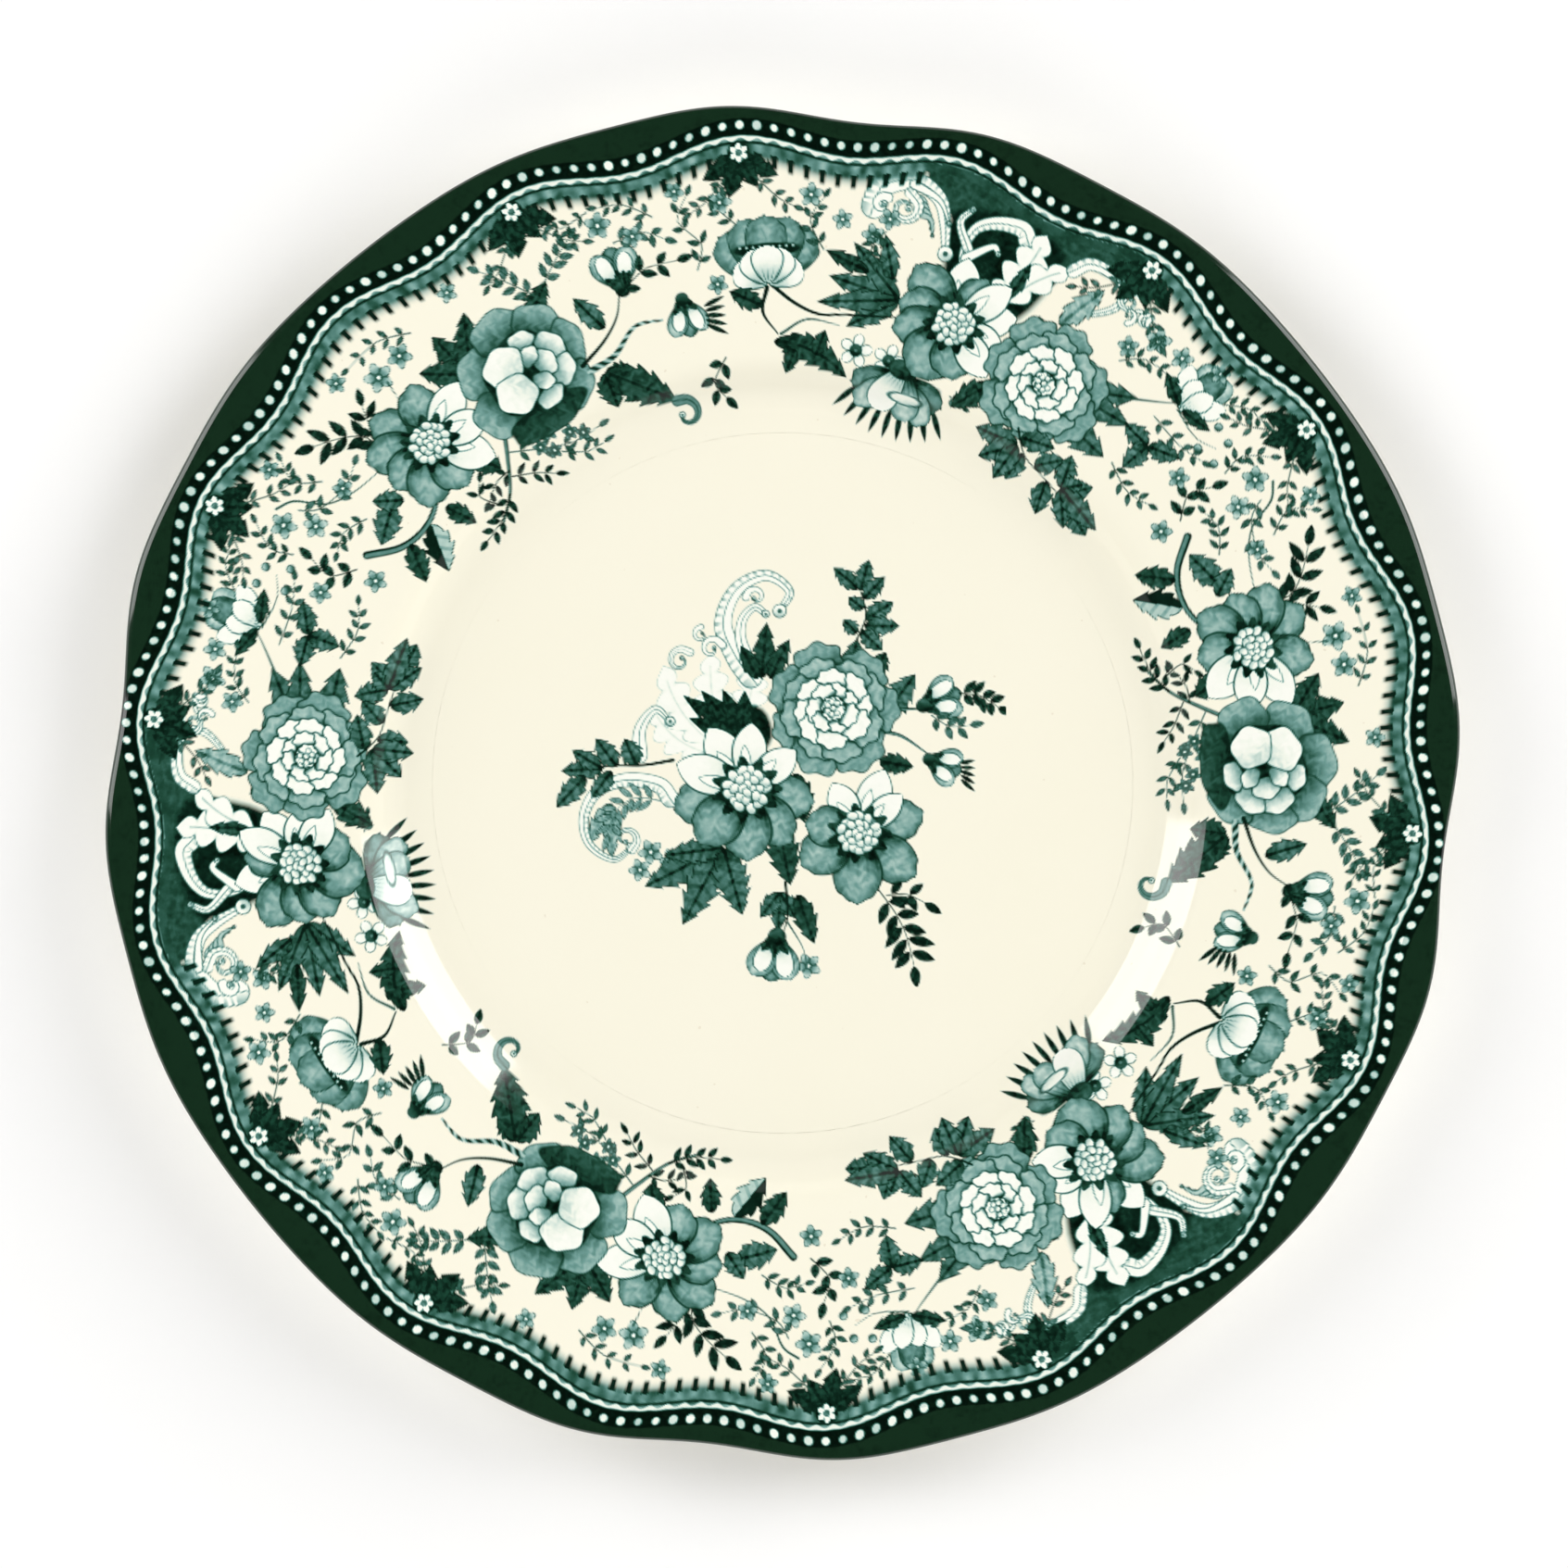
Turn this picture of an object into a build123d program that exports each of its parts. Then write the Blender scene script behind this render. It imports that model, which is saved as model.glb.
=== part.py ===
"""Lobed china dinner plate, built up the way it is made: a pressed clay body, the clear glaze over
its face and its underside, and the coloured print that lies in the glaze.

Millimetres, +Z up. The origin is the centre of the foot ring's resting plane. The foot rests on
z = 0. Angles run counter-clockwise from +X.
"""
import os
from math import cos, radians, sin

from build123d import *

os.makedirs("parts", exist_ok=True)

# ---- outline of the rim, seen from above -------------------------------------------------------
RIM_RADIUS = 135.1          # mean radius of the lobed outline
NOTCH_ANGLE = 83.5          # direction of one of the four notches between the lobes, degrees
LOBES = ((4, 0.74), (8, 0.68), (12, 0.35), (16, 0.52), (20, 0.18))   # (waves round, depth)
OUTLINE_STEPS = 60          # points of the closed curve through the outline

# ---- section through the wall ------------------------------------------------------------------
WELL_HEIGHT = 6.6           # face of the flat well above the table
WELL_RADIUS = 75.0          # where the well starts to turn up
CAVETTO_BEND = 8.0          # radius of the bend from well to cavetto
CAVETTO_ANGLE = 44.0        # steepest slope of the cavetto, degrees
CAVETTO_RUN = 2.0           # straight stretch between the two bends
SHOULDER_BEND = 9.0         # radius of the bend from cavetto to rim
RIM_ANGLE = 9.5             # slope of the rim where it leaves the shoulder, degrees
RIM_SWEEP = 3.5             # how much the rim turns up on its way out, degrees
RIM_CURVE = 900.0           # radius of that slight turn
WALL = 4.4                  # thickness of the well and the cavetto
RIM_TAPER = 0.9             # how much steeper the underside of the rim is, degrees
LIP_ROUND = 1.5             # rounding of the lip, above and below

# ---- foot ring -----------------------------------------------------------------------------------
FOOT_RADIUS = 78.5          # middle of the resting ring
FOOT_FLAT = 2.2             # width of the resting ring
FOOT_FLANK = 2.4            # how far each flank of the foot spreads on its way up
FOOT_ROOT = 4.6             # height at which the foot is swallowed by the wall

# ---- glaze and print -----------------------------------------------------------------------------
GLAZE = 0.2                 # thickness of the glaze, and of the print that lies in it
BARE_FOOT = 0.7             # height of the foot that is wiped clean of glaze
BARE_LIP = 2.0              # how far in from the outline the glaze skins stop, short of the rounding
BAND_RADIUS = 127.6         # where the edge band meets the border
BORDER_RADIUS = 70.5        # inner edge of the border transfers
PANEL_PAIRS = 3             # each border panel comes three times round
PANEL_ANGLE = 60.0          # each panel's share of the border, degrees
PANEL_A_CENTRE = 66.0       # middle of the first dark-ground panel, degrees
PANEL_B_CENTRE = 126.0      # middle of the first open panel, degrees
SPRAY_CENTRE = (-2.0, 3.0)  # middle of the spray's transfer in the well
SPRAY_SIZE = (94.0, 88.0)

BEYOND = 6.0                # how far cutting shapes pass the plate's edge
TOP = 60.0                  # height that clears the whole plate


def rim_radius(angle):
    """Radius of the lobed outline in the direction `angle`, in degrees."""
    return RIM_RADIUS - sum(depth * cos(radians(waves * (angle - NOTCH_ANGLE)))
                            for waves, depth in LOBES)


def polar(radius, angle):
    return (radius * cos(radians(angle)), radius * sin(radians(angle)))


def outline(inset):
    """The lobed outline as one smooth closed curve, drawn `inset` nearer the middle."""
    angles = [360.0 * step / OUTLINE_STEPS for step in range(OUTLINE_STEPS)]
    return Spline(*[polar(rim_radius(angle) - inset, angle) for angle in angles], periodic=True)


def wall_line(depth, taper=0.0):
    """Well, cavetto and rim as one smooth line, `depth` under the glazed face."""
    well = Line((0, WELL_HEIGHT - depth), (WELL_RADIUS, WELL_HEIGHT - depth))
    bend = JernArc(well @ 1, well % 1, CAVETTO_BEND + depth, CAVETTO_ANGLE)
    rise = Line(bend @ 1, bend @ 1 + CAVETTO_RUN * (bend % 1))
    turn_back = CAVETTO_ANGLE - RIM_ANGLE - taper
    shoulder = JernArc(rise @ 1, rise % 1, SHOULDER_BEND - depth, -turn_back)
    return JernArc(shoulder @ 1, shoulder % 1, RIM_CURVE + depth, RIM_SWEEP)


def half_section(inset):
    """Section of the wall and the foot ring, drawn `inset` inside the glazed surface."""
    half = FOOT_FLAT / 2 - inset
    with BuildSketch(Plane.XZ) as section:
        with BuildLine():
            face = wall_line(inset)
            under = wall_line(WALL - inset, RIM_TAPER)
            Line(face @ 1, under @ 1)
            Line((0, WELL_HEIGHT - inset), (0, WELL_HEIGHT - WALL + inset))
        make_face()
        with BuildLine():
            Polyline(
                (FOOT_RADIUS - half - FOOT_FLANK, FOOT_ROOT),
                (FOOT_RADIUS - half, 0),
                (FOOT_RADIUS + half, 0),
                (FOOT_RADIUS + half + FOOT_FLANK, FOOT_ROOT),
                close=True,
            )
        make_face()
    return section.sketch


def face_region():
    """Everything above the middle of the wall, in section."""
    with BuildSketch(Plane.XZ) as region:
        with BuildLine():
            middle = wall_line(WALL / 2, RIM_TAPER / 2)
            Polyline(middle @ 1, (middle @ 1 + Vector(0, TOP)), (0, TOP), (0, WELL_HEIGHT - WALL / 2))
        make_face()
    return region.sketch


def skin(region, mode):
    """The glaze skin on one side of the section, turned round the axis and cut short of the lip."""
    with BuildPart() as coat:
        with BuildSketch(Plane.XZ):
            add(half_section(0))
            add(half_section(GLAZE), mode=Mode.SUBTRACT)
            with Locations((FOOT_RADIUS, 0)):
                Rectangle(2 * FOOT_ROOT, 2 * BARE_FOOT, mode=Mode.SUBTRACT)
            add(region, mode=mode)
        revolve(axis=Axis.Z)
        with BuildSketch(Plane.XY):
            with BuildLine():
                outline(BARE_LIP)
            make_face()
        extrude(amount=TOP, mode=Mode.INTERSECT)
    return coat.part


def sector(middle, angle):
    """Upright wedge of `angle` degrees about the direction `middle`, past the plate's edge."""
    reach = (RIM_RADIUS + BEYOND) / cos(radians(angle / 2))
    with BuildPart() as wedge:
        with BuildSketch(Plane.XY):
            with BuildLine():
                Polyline((0, 0), polar(reach, middle - angle / 2), polar(reach, middle + angle / 2),
                         close=True)
            make_face()
        extrude(amount=TOP)
    return wedge.part


def finish(part, name):
    """Label one piece and write it to its own file."""
    part.label = name
    export_step(part, f"parts/{name}.step")


# ---- the glaze skins: over the face, and under the plate on both sides of the foot --------------
face_coat = skin(face_region(), Mode.INTERSECT)
under_coat = skin(face_region(), Mode.SUBTRACT)

with BuildPart() as recess_glaze:
    add(under_coat)
    with BuildSketch(Plane.XY):
        Circle(FOOT_RADIUS)
    extrude(amount=TOP, mode=Mode.INTERSECT)
finish(recess_glaze.part, "recess_glaze")

with BuildPart() as back_glaze:
    add(under_coat)
    with BuildSketch(Plane.XY):
        Circle(FOOT_RADIUS)
    extrude(amount=TOP, mode=Mode.SUBTRACT)
finish(back_glaze.part, "back_glaze")

# ---- clay body: the whole plate with its rounded lip, less the glaze ------------------------------
with BuildPart() as clay_body:
    with BuildSketch(Plane.XZ):
        add(half_section(0))
    revolve(axis=Axis.Z)
    with BuildSketch(Plane.XY):
        with BuildLine():
            outline(0)
        make_face()
    extrude(amount=TOP, mode=Mode.INTERSECT)
    lip = clay_body.edges().filter_by_position(Axis.Z, WELL_HEIGHT + CAVETTO_BEND, TOP)
    fillet(lip, LIP_ROUND)
    add(face_coat, mode=Mode.SUBTRACT)
    add(under_coat, mode=Mode.SUBTRACT)
finish(clay_body.part, "clay_body")

# ---- dark band along the lip -----------------------------------------------------------------------
with BuildPart() as edge_band:
    add(face_coat)
    with BuildSketch(Plane.XY):
        Circle(BAND_RADIUS)
    extrude(amount=TOP, mode=Mode.SUBTRACT)
finish(edge_band.part, "edge_band")

# ---- border transfers ------------------------------------------------------------------------------
with BuildPart() as border:
    add(face_coat)
    with BuildSketch(Plane.XY):
        Circle(BAND_RADIUS)
        Circle(BORDER_RADIUS, mode=Mode.SUBTRACT)
    extrude(amount=TOP, mode=Mode.INTERSECT)

for panel, first in (("a", PANEL_A_CENTRE), ("b", PANEL_B_CENTRE)):
    for turn in range(PANEL_PAIRS):
        with BuildPart() as transfer:
            add(border.part)
            add(sector(first + turn * 360 / PANEL_PAIRS, PANEL_ANGLE), mode=Mode.INTERSECT)
        finish(transfer.part, f"border_panel_{panel}_{turn + 1}")

# ---- the spray's transfer in the well, and the clear glaze round it --------------------------------
with BuildPart() as centre_spray:
    with BuildSketch(Plane.XY.offset(WELL_HEIGHT)):
        with Locations(SPRAY_CENTRE):
            Rectangle(*SPRAY_SIZE)
    extrude(amount=-GLAZE)
finish(centre_spray.part, "centre_spray")

with BuildPart() as front_glaze:
    with BuildSketch(Plane.XY.offset(WELL_HEIGHT)):
        Circle(BORDER_RADIUS)
        with Locations(SPRAY_CENTRE):
            Rectangle(*SPRAY_SIZE, mode=Mode.SUBTRACT)
    extrude(amount=-GLAZE)
finish(front_glaze.part, "front_glaze")
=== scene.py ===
"""Looks of the lobed china dinner plate: its glazed skins, their engraved print, light and camera.

Shapes are worked out in millimetres in the row's own frame and made in metres. A place on the border
is (angle in degrees counter-clockwise from +X, radius); a place in the well is (x, y). "Up" is
outwards on the border and +Y in the well, and directions of leaves and petals are counted from the
right-hand side of a motif whose top points up.
"""

import bpy
import numpy as np
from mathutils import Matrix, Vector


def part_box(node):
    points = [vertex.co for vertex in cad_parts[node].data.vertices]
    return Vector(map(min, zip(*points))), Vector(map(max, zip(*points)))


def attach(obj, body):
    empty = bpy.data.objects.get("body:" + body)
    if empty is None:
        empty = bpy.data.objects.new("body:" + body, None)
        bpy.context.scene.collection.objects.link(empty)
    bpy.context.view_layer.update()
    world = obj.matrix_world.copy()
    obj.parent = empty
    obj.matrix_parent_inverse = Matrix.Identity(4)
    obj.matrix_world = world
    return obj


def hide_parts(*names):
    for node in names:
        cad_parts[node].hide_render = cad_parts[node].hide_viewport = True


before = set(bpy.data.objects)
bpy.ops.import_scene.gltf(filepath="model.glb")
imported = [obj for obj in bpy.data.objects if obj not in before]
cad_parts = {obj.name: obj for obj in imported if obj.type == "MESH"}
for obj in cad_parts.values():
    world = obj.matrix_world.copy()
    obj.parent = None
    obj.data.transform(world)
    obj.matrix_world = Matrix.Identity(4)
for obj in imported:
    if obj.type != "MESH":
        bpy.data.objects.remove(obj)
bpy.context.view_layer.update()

MM = 0.001

# ---- the plate, with part.py's dimensions --------------------------------------------------------
RIM_RADIUS = 135.1
NOTCH_ANGLE = 83.5
LOBES = ((4, 0.74), (8, 0.68), (12, 0.35), (16, 0.52), (20, 0.18))
WELL_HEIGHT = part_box("front_glaze")[1].z / MM
WELL_RADIUS = 75.0
CAVETTO_BEND, CAVETTO_ANGLE, CAVETTO_RUN = 8.0, 44.0, 2.0
SHOULDER_BEND = 9.0
RIM_ANGLE, RIM_SWEEP, RIM_CURVE, RIM_TAPER = 9.5, 3.5, 900.0, 0.9
WALL = 4.4
LIP_ROUND = 1.5
FOOT_RADIUS, FOOT_FLAT, FOOT_FLANK, FOOT_ROOT = 78.5, 2.2, 2.4, 4.6
BARE_FOOT = 0.7
GLAZE = 0.2
BAND_RADIUS = 127.6
BORDER_RADIUS = 70.5
PANEL_ANGLE, PERIOD = 60.0, 120.0
FIRST_ANGLE = 36.0                       # where the first dark-ground panel begins

# ---- the pearl string and its waves --------------------------------------------------------------
PEARLS = 240
PEARL_RADIUS, PEARL_SWING, PEARL_WAVES, PEARL_CREST = 129.5, 1.95, 18, 14.0
STAR_ANGLES = (34.0, 54.2, 94.0, 115.4)  # stars of one period, at crests of the string


def direction(angle):
    return np.cos(np.radians(angle)), np.sin(np.radians(angle))


def rim_radius(angle):
    """Radius of the lobed outline."""
    return RIM_RADIUS - sum(depth * np.cos(np.radians(waves * (angle - NOTCH_ANGLE)))
                            for waves, depth in LOBES)


def pearl_radius(angle):
    """Radius of the wavy line that the pearls sit on."""
    return PEARL_RADIUS + PEARL_SWING * np.cos(np.radians(PEARL_WAVES * (angle - PEARL_CREST)))


def wall_height(radius, depth=0.0, taper=0.0):
    """Height of the line `depth` inside the wall. Each stretch starts where the last ends."""
    start, height, slope = WELL_RADIUS, WELL_HEIGHT - depth, 0.0
    result = np.full_like(radius, height)
    turn_back = CAVETTO_ANGLE - RIM_ANGLE - taper
    for bend, turn in ((CAVETTO_BEND + depth, CAVETTO_ANGLE), (0.0, CAVETTO_RUN),
                       (depth - SHOULDER_BEND, -turn_back), (RIM_CURVE + depth, RIM_SWEEP)):
        along = radius - start
        if bend:
            sine = np.clip(np.sin(slope) + along / bend, -0.99, 0.99)
            line = height + bend * (np.cos(slope) - np.sqrt(1 - sine ** 2))
            end = slope + np.radians(turn)
            step = bend * (np.sin(end) - np.sin(slope)), bend * (np.cos(slope) - np.cos(end))
        else:
            line = height + along * np.tan(slope)
            end = slope
            step = turn * np.cos(slope), turn * np.sin(slope)
        result = np.where(along > 0, line, result)
        start, height, slope = start + step[0], height + step[1], end
    return result


def noise(x, y, scale, seed):
    """Smooth repeatable noise from -1 to 1, with features of about `scale` millimetres."""
    draw = np.random.default_rng(seed)
    x, y = (x + 0.3 * scale * np.sin(4.1 * y / scale + seed) + 0.15 * scale * np.sin(9.3 * y / scale),
            y + 0.3 * scale * np.sin(3.7 * x / scale + 2 * seed) + 0.15 * scale * np.sin(8.7 * x / scale))
    total = np.zeros_like(x)
    for _ in range(7):
        turn, phase = draw.uniform(0, 2 * np.pi), draw.uniform(0, 6.3)
        pitch = scale * draw.uniform(0.7, 1.6)
        total += np.sin((x * np.cos(turn) + y * np.sin(turn)) * 2 * np.pi / pitch + phase)
    return np.clip(total / 3.2, -1, 1)


# ==== the engraver's tools ========================================================================
# Ink runs from 0, bare glaze, to 1, the darkest green. Below 0 it is whiter than the glaze.
PRINT_EDGE = 0.13                        # softness of an ink edge, mm
SCROLL_WEIGHT = 1.5                      # how heavy the scrolls are drawn
WHITE, PALE, MID, DEEP, DARK = -0.12, 0.24, 0.52, 0.72, 0.94
BAND_GREEN = 1.12                        # ink past the darkest: the green-brown of the lip


def soft(distance, edge=PRINT_EDGE):
    """Coverage from a distance in millimetres that is positive inside."""
    return np.clip(0.5 + distance / (2 * edge), 0, 1)


def fade(value, low, high):
    """0 at low, 1 at high, smooth between."""
    t = np.clip((value - low) / (high - low), 0, 1)
    return t * t * (3 - 2 * t)


def mix(a, b, t):
    return a + (b - a) * t


class Print:
    """Ink laid on points of the plate's face: how dark each is, and how far it hides what lies under."""

    def __init__(self, x, y, polar, turns=(0.0,)):
        self.shape = x.shape
        self.x, self.y = x.ravel(), y.ravel()
        self.ink = np.zeros(self.x.size)
        self.cover = np.zeros(self.x.size)
        self.polar, self.turns = polar, turns

    def spot(self, place):
        """A place as x and y, and which way is up there."""
        if self.polar:
            c, s = direction(place[0])
            return np.array((place[1] * c, place[1] * s)), place[0]
        return np.array(place, float), 90.0

    def lay(self, centre, reach, brush):
        """Runs brush(x, y), x and y from the centre, on the points within reach, and lays its ink."""
        for turn in self.turns:
            c, s = direction(turn)
            at_x, at_y = centre[0] * c - centre[1] * s, centre[0] * s + centre[1] * c
            near = np.flatnonzero((np.abs(self.x - at_x) < reach) & (np.abs(self.y - at_y) < reach))
            if near.size:
                dx, dy = self.x[near] - at_x, self.y[near] - at_y
                cover, ink = brush(dx * c + dy * s, dy * c - dx * s)
                self.ink[near] = mix(self.ink[near], ink, cover)
                self.cover[near] = np.maximum(self.cover[near], cover)


def lay_blade(p, base, tip, width, bend, paint):
    """Lays paint(x, y, u, inside, v, length): u runs from base to tip, v across, bowed left by bend."""
    a, b = p.spot(base)[0], p.spot(tip)[0]
    length = np.hypot(*(b - a))
    ux, uy = (b - a) / length

    def brush(x, y):
        u = (x * ux + y * uy) / length + 0.5
        inside = np.clip(u, 0.001, 0.999)
        v = y * ux - x * uy - bend * length * 4 * inside * (1 - inside)
        return paint(x + a[0], y + a[1], u, inside, v, length)

    p.lay((a + b) / 2, 0.5 * length + width * 0.6 + abs(bend) * length, brush)


def leaf(p, base, tip, width, ink=DEEP, light=MID, teeth=0, bend=0.0, split=None, line=0.24):
    """A leaf from base to tip. teeth notch its edge, bend bows it left, split is its left half's ink."""
    def paint(x, y, u, inside, v, length):
        half = (0.62 if teeth else 0.5) * width * np.sin(np.pi * inside ** 0.82) ** 0.8
        if teeth:
            half = half * (1 - 0.3 * ((teeth * inside + 0.35 * np.abs(v) / width) % 1.0))
        d = half - np.abs(v) - np.abs(u - inside) * length
        veins = fade(np.cos(2 * np.pi * (max(teeth, 4) * (u - 0.5 * np.abs(v) / length))), 0.1, 0.95)
        rib = 1 - fade(np.abs(v), 0.12, 0.45)
        shade = 0.2 + 0.26 * veins + 0.55 * rib + 0.5 * fade(0.35 - u, 0, 0.35)
        tone = mix(light, ink, np.clip(shade, 0, 1))
        tone = tone + 0.08 * noise(x, y, 2.2, 77)
        if split is not None:
            tone = np.where(v > 0, mix(split, tone, 0.25 * veins), ink)
        return soft(d), mix(tone, DARK, soft(line - d))

    lay_blade(p, base, tip, width, bend, paint)


def petal(p, place, way, length, width, ink=MID, tip=PALE, point=0.0, hatch=5, line=0.2, ruffle=0.0):
    """A petal from place towards `way`: ink is its tone at the base, tip at its end."""
    at, up = p.spot(place)
    ux, uy = direction(up - 90 + way)

    def brush(x, y):
        x, y = x + ux * length / 2, y + uy * length / 2
        u, v = (x * ux + y * uy) / length, y * ux - x * uy
        inside = np.clip(u, 0.001, 0.999)
        swell = inside ** mix(0.5, 0.8, point)
        close = (1 - inside ** mix(4.0, 1.9, point)) ** mix(0.5, 0.95, point)
        half = 0.5 * width * swell * close * mix(1.16, 1.85, point)
        d = (half - np.abs(v) - np.abs(u - inside) * length) * 0.9
        if ruffle:
            d = d + ruffle * np.cos(v * 2.6 + u * 5) * fade(u, 0.5, 0.9)
        rays = fade(np.cos(2 * np.pi * hatch * v / np.maximum(half, 0.4) / 2), 0.3, 1)
        if ink > PALE:
            tone = mix(ink, tip, fade(u, 0.1, 0.6)) + 0.12 * rays * (1 - fade(u, 0.3, 0.8))
            tone = tone + 0.08 * noise(x + at[0], y + at[1], 2.6, 78)
            tone = tone + 0.22 * (1 - fade(d, 0.1, 0.26 * width))
        else:
            tone = mix(ink, tip, fade(u, 0.15, 0.8)) + 0.5 * fade(0.5 - u, 0, 0.5) * rays
        tone = mix(tone, DARK - 0.06, soft(line - d))
        return soft(d), tone

    p.lay(at + np.array((ux, uy)) * length / 2, length / 2 + width * 0.6, brush)


def lobe(p, place, wide, tall, way=0.0, ink=MID, light=PALE, lit=90.0, line=0.2, waves=0, wave=0.06,
         dusk=-0.75, dawn=0.6):
    """A round petal or berry, `light` on the side `lit`, `ink` on the other."""
    at, up = p.spot(place)
    ux, uy = direction(up - 90 + way)
    lx, ly = direction(up - 90 + lit)

    def brush(x, y):
        u, v = (x * ux + y * uy) / (wide / 2), (y * ux - x * uy) / (tall / 2)
        rho = np.hypot(u, v)
        reach = 1 + wave * np.cos(waves * np.arctan2(v, u)) if waves else 1.0
        d = (reach - rho) * min(wide, tall) / 2
        toward = (x * lx + y * ly) / (0.5 * max(wide, tall))
        tone = mix(ink, light, fade(toward, dusk, dawn))
        if min(wide, tall) > 3:
            tone = tone + 0.07 * noise(x + at[0], y + at[1], 2.4, 79)
        tone = mix(tone, DARK - 0.06, soft(line - d))
        return soft(d), tone

    p.lay(at, 0.6 * max(wide, tall) + 0.5, brush)


def spots(p, places):
    """Places as x and y, unless they are a curl's, which are x and y already."""
    return places if isinstance(places, Fixed) else [p.spot(place)[0] for place in places]


def smooth_line(points, steps):
    """A smooth line through points, as Catmull and Rom draw it."""
    steps = int(steps)
    points = np.array(points, float)
    ends = np.vstack((2 * points[0] - points[1], points, 2 * points[-1] - points[-2]))
    t = np.linspace(0, 1, steps, endpoint=False)[:, None]
    spans = []
    for a, b, c, d in zip(ends, ends[1:], ends[2:], ends[3:]):
        spans.append(0.5 * (2 * b + (c - a) * t + (2 * a - 5 * b + 4 * c - d) * t ** 2
                            + (3 * b - a - 3 * c + d) * t ** 3))
    return np.vstack(spans + [points[-1:]])


def near_line(x, y, line):
    """Distance to a line of points, how far along it the nearest point is, and on which side."""
    best = np.full(x.size, 1e9)
    along, side = np.zeros(x.size), np.zeros(x.size)
    lengths = np.hypot(*np.diff(line, axis=0).T)
    starts = np.concatenate(([0], np.cumsum(lengths)))
    for (ax, ay), (bx, by), length, start in zip(line, line[1:], lengths, starts):
        ex, ey = (bx - ax) / length, (by - ay) / length
        t = np.clip((x - ax) * ex + (y - ay) * ey, 0, length)
        qx, qy = x - ax - t * ex, y - ay - t * ey
        d = np.hypot(qx, qy)
        nearer = d < best
        best[nearer] = d[nearer]
        along[nearer] = ((start + t) / starts[-1])[nearer]
        side[nearer] = (ex * qy - ey * qx)[nearer]
    return best, along, side


def stroke(p, places, width, ink=DEEP, end=0.35, core=None, twist=0.0, steps=6):
    """A stem through places, tapering to `end` of its width. core is its lit middle's ink."""
    line = smooth_line(spots(p, places), steps)
    centre = (line.min(0) + line.max(0)) / 2
    line = line - centre

    def brush(x, y):
        d, t, side = near_line(x, y, line)
        half = 0.5 * width * mix(1.0, end, t)
        tone = np.full(x.size, float(ink))
        if twist:
            tone = mix(tone, PALE, 0.5 + 0.5 * np.cos(2 * np.pi * t * twist + side * 3))
        if core is not None:
            tone = mix(core, tone, fade(np.abs(d + 0.15 * np.sign(side) * half), 0.25 * half, 0.8 * half))
        return soft(half - d, 0.11), tone

    p.lay(centre, np.abs(line).max() + width + 0.3, brush)


def scroll(p, places, width, fill=WHITE, rib=MID, end=0.3, steps=6, line=0.22, ribs=1, comb=0):
    """A rococo scroll: a pale body in a dark outline, with ribs, a comb of hatching and an end knob."""
    width = width * SCROLL_WEIGHT
    path = smooth_line(spots(p, places), steps)
    centre = (path.min(0) + path.max(0)) / 2
    path = path - centre

    def brush(x, y):
        d, t, side = near_line(x, y, path)
        half = 0.5 * width * mix(1.0, end, t)
        tone = np.full(x.size, float(fill))
        for k in range(ribs):
            at = ((k + 1) / (ribs + 1) * 2 - 1) * 0.75 * half
            tone = mix(tone, rib, soft(0.13 - np.abs(side - at), 0.1) * (d < half))
        if comb:
            teeth = fade(np.cos(2 * np.pi * (t * comb + 0.18 * side / np.maximum(half, 0.1))), -0.5, 0.9)
            tone = mix(tone, rib, 0.7 * teeth * fade(side / np.maximum(half, 0.1), -0.3, 0.9))
        tone = mix(tone, DEEP, soft(line - (half - d)))
        return soft(half - d), tone

    p.lay(centre, np.abs(path).max() + width + 0.3, brush)
    knob = 0.62 * width
    lobe(Flat(p), path[-1] + centre, knob, knob, ink=PALE, light=WHITE, line=line)
    lobe(Flat(p), path[-1] + centre, 0.3 * knob, 0.3 * knob, ink=DEEP, light=DEEP, line=0)


def curl(p, place, radius, start, sweep, shrink=0.25, steps=9):
    """Places round a spiral, from `start` through `sweep` degrees, ending at `shrink` of its radius."""
    at, up = p.spot(place)
    turn = np.linspace(0, 1, steps)
    c, s = direction(up - 90 + start + sweep * turn)
    reach = radius * mix(1.0, shrink, turn)
    return Fixed(np.column_stack((at[0] + reach * c, at[1] + reach * s)))


class Fixed(list):
    """Points already in x and y, for stroke and scroll."""


def floret(p, place, radius, ink=0.4, petals=5, turn=0.0, eye=DEEP):
    """A small open flower with a dark eye."""
    at, up = p.spot(place)
    radius, ink = radius * 1.35, ink + 0.12

    def brush(x, y):
        rho = np.hypot(x, y)
        phi = np.arctan2(y, x) - np.radians(up - 90 + turn)
        wave = np.cos(petals * phi)
        d = radius * (0.83 + 0.17 * wave) - rho
        tone = mix(ink, ink - 0.25, fade(rho / radius, 0.35, 0.8))
        tone = mix(tone, DEEP + 0.1, soft(0.2 - d))
        tone = mix(tone, DEEP, soft(0.14 - rho * (wave + 1) * 0.35, 0.12) * (rho > 0.3 * radius))
        tone = mix(tone, eye, soft(0.3 * radius - rho))
        tone = mix(tone, WHITE, soft(0.13 * radius - rho, 0.1))
        return soft(d), tone

    p.lay(at, radius * 1.1 + 0.3, brush)


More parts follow.
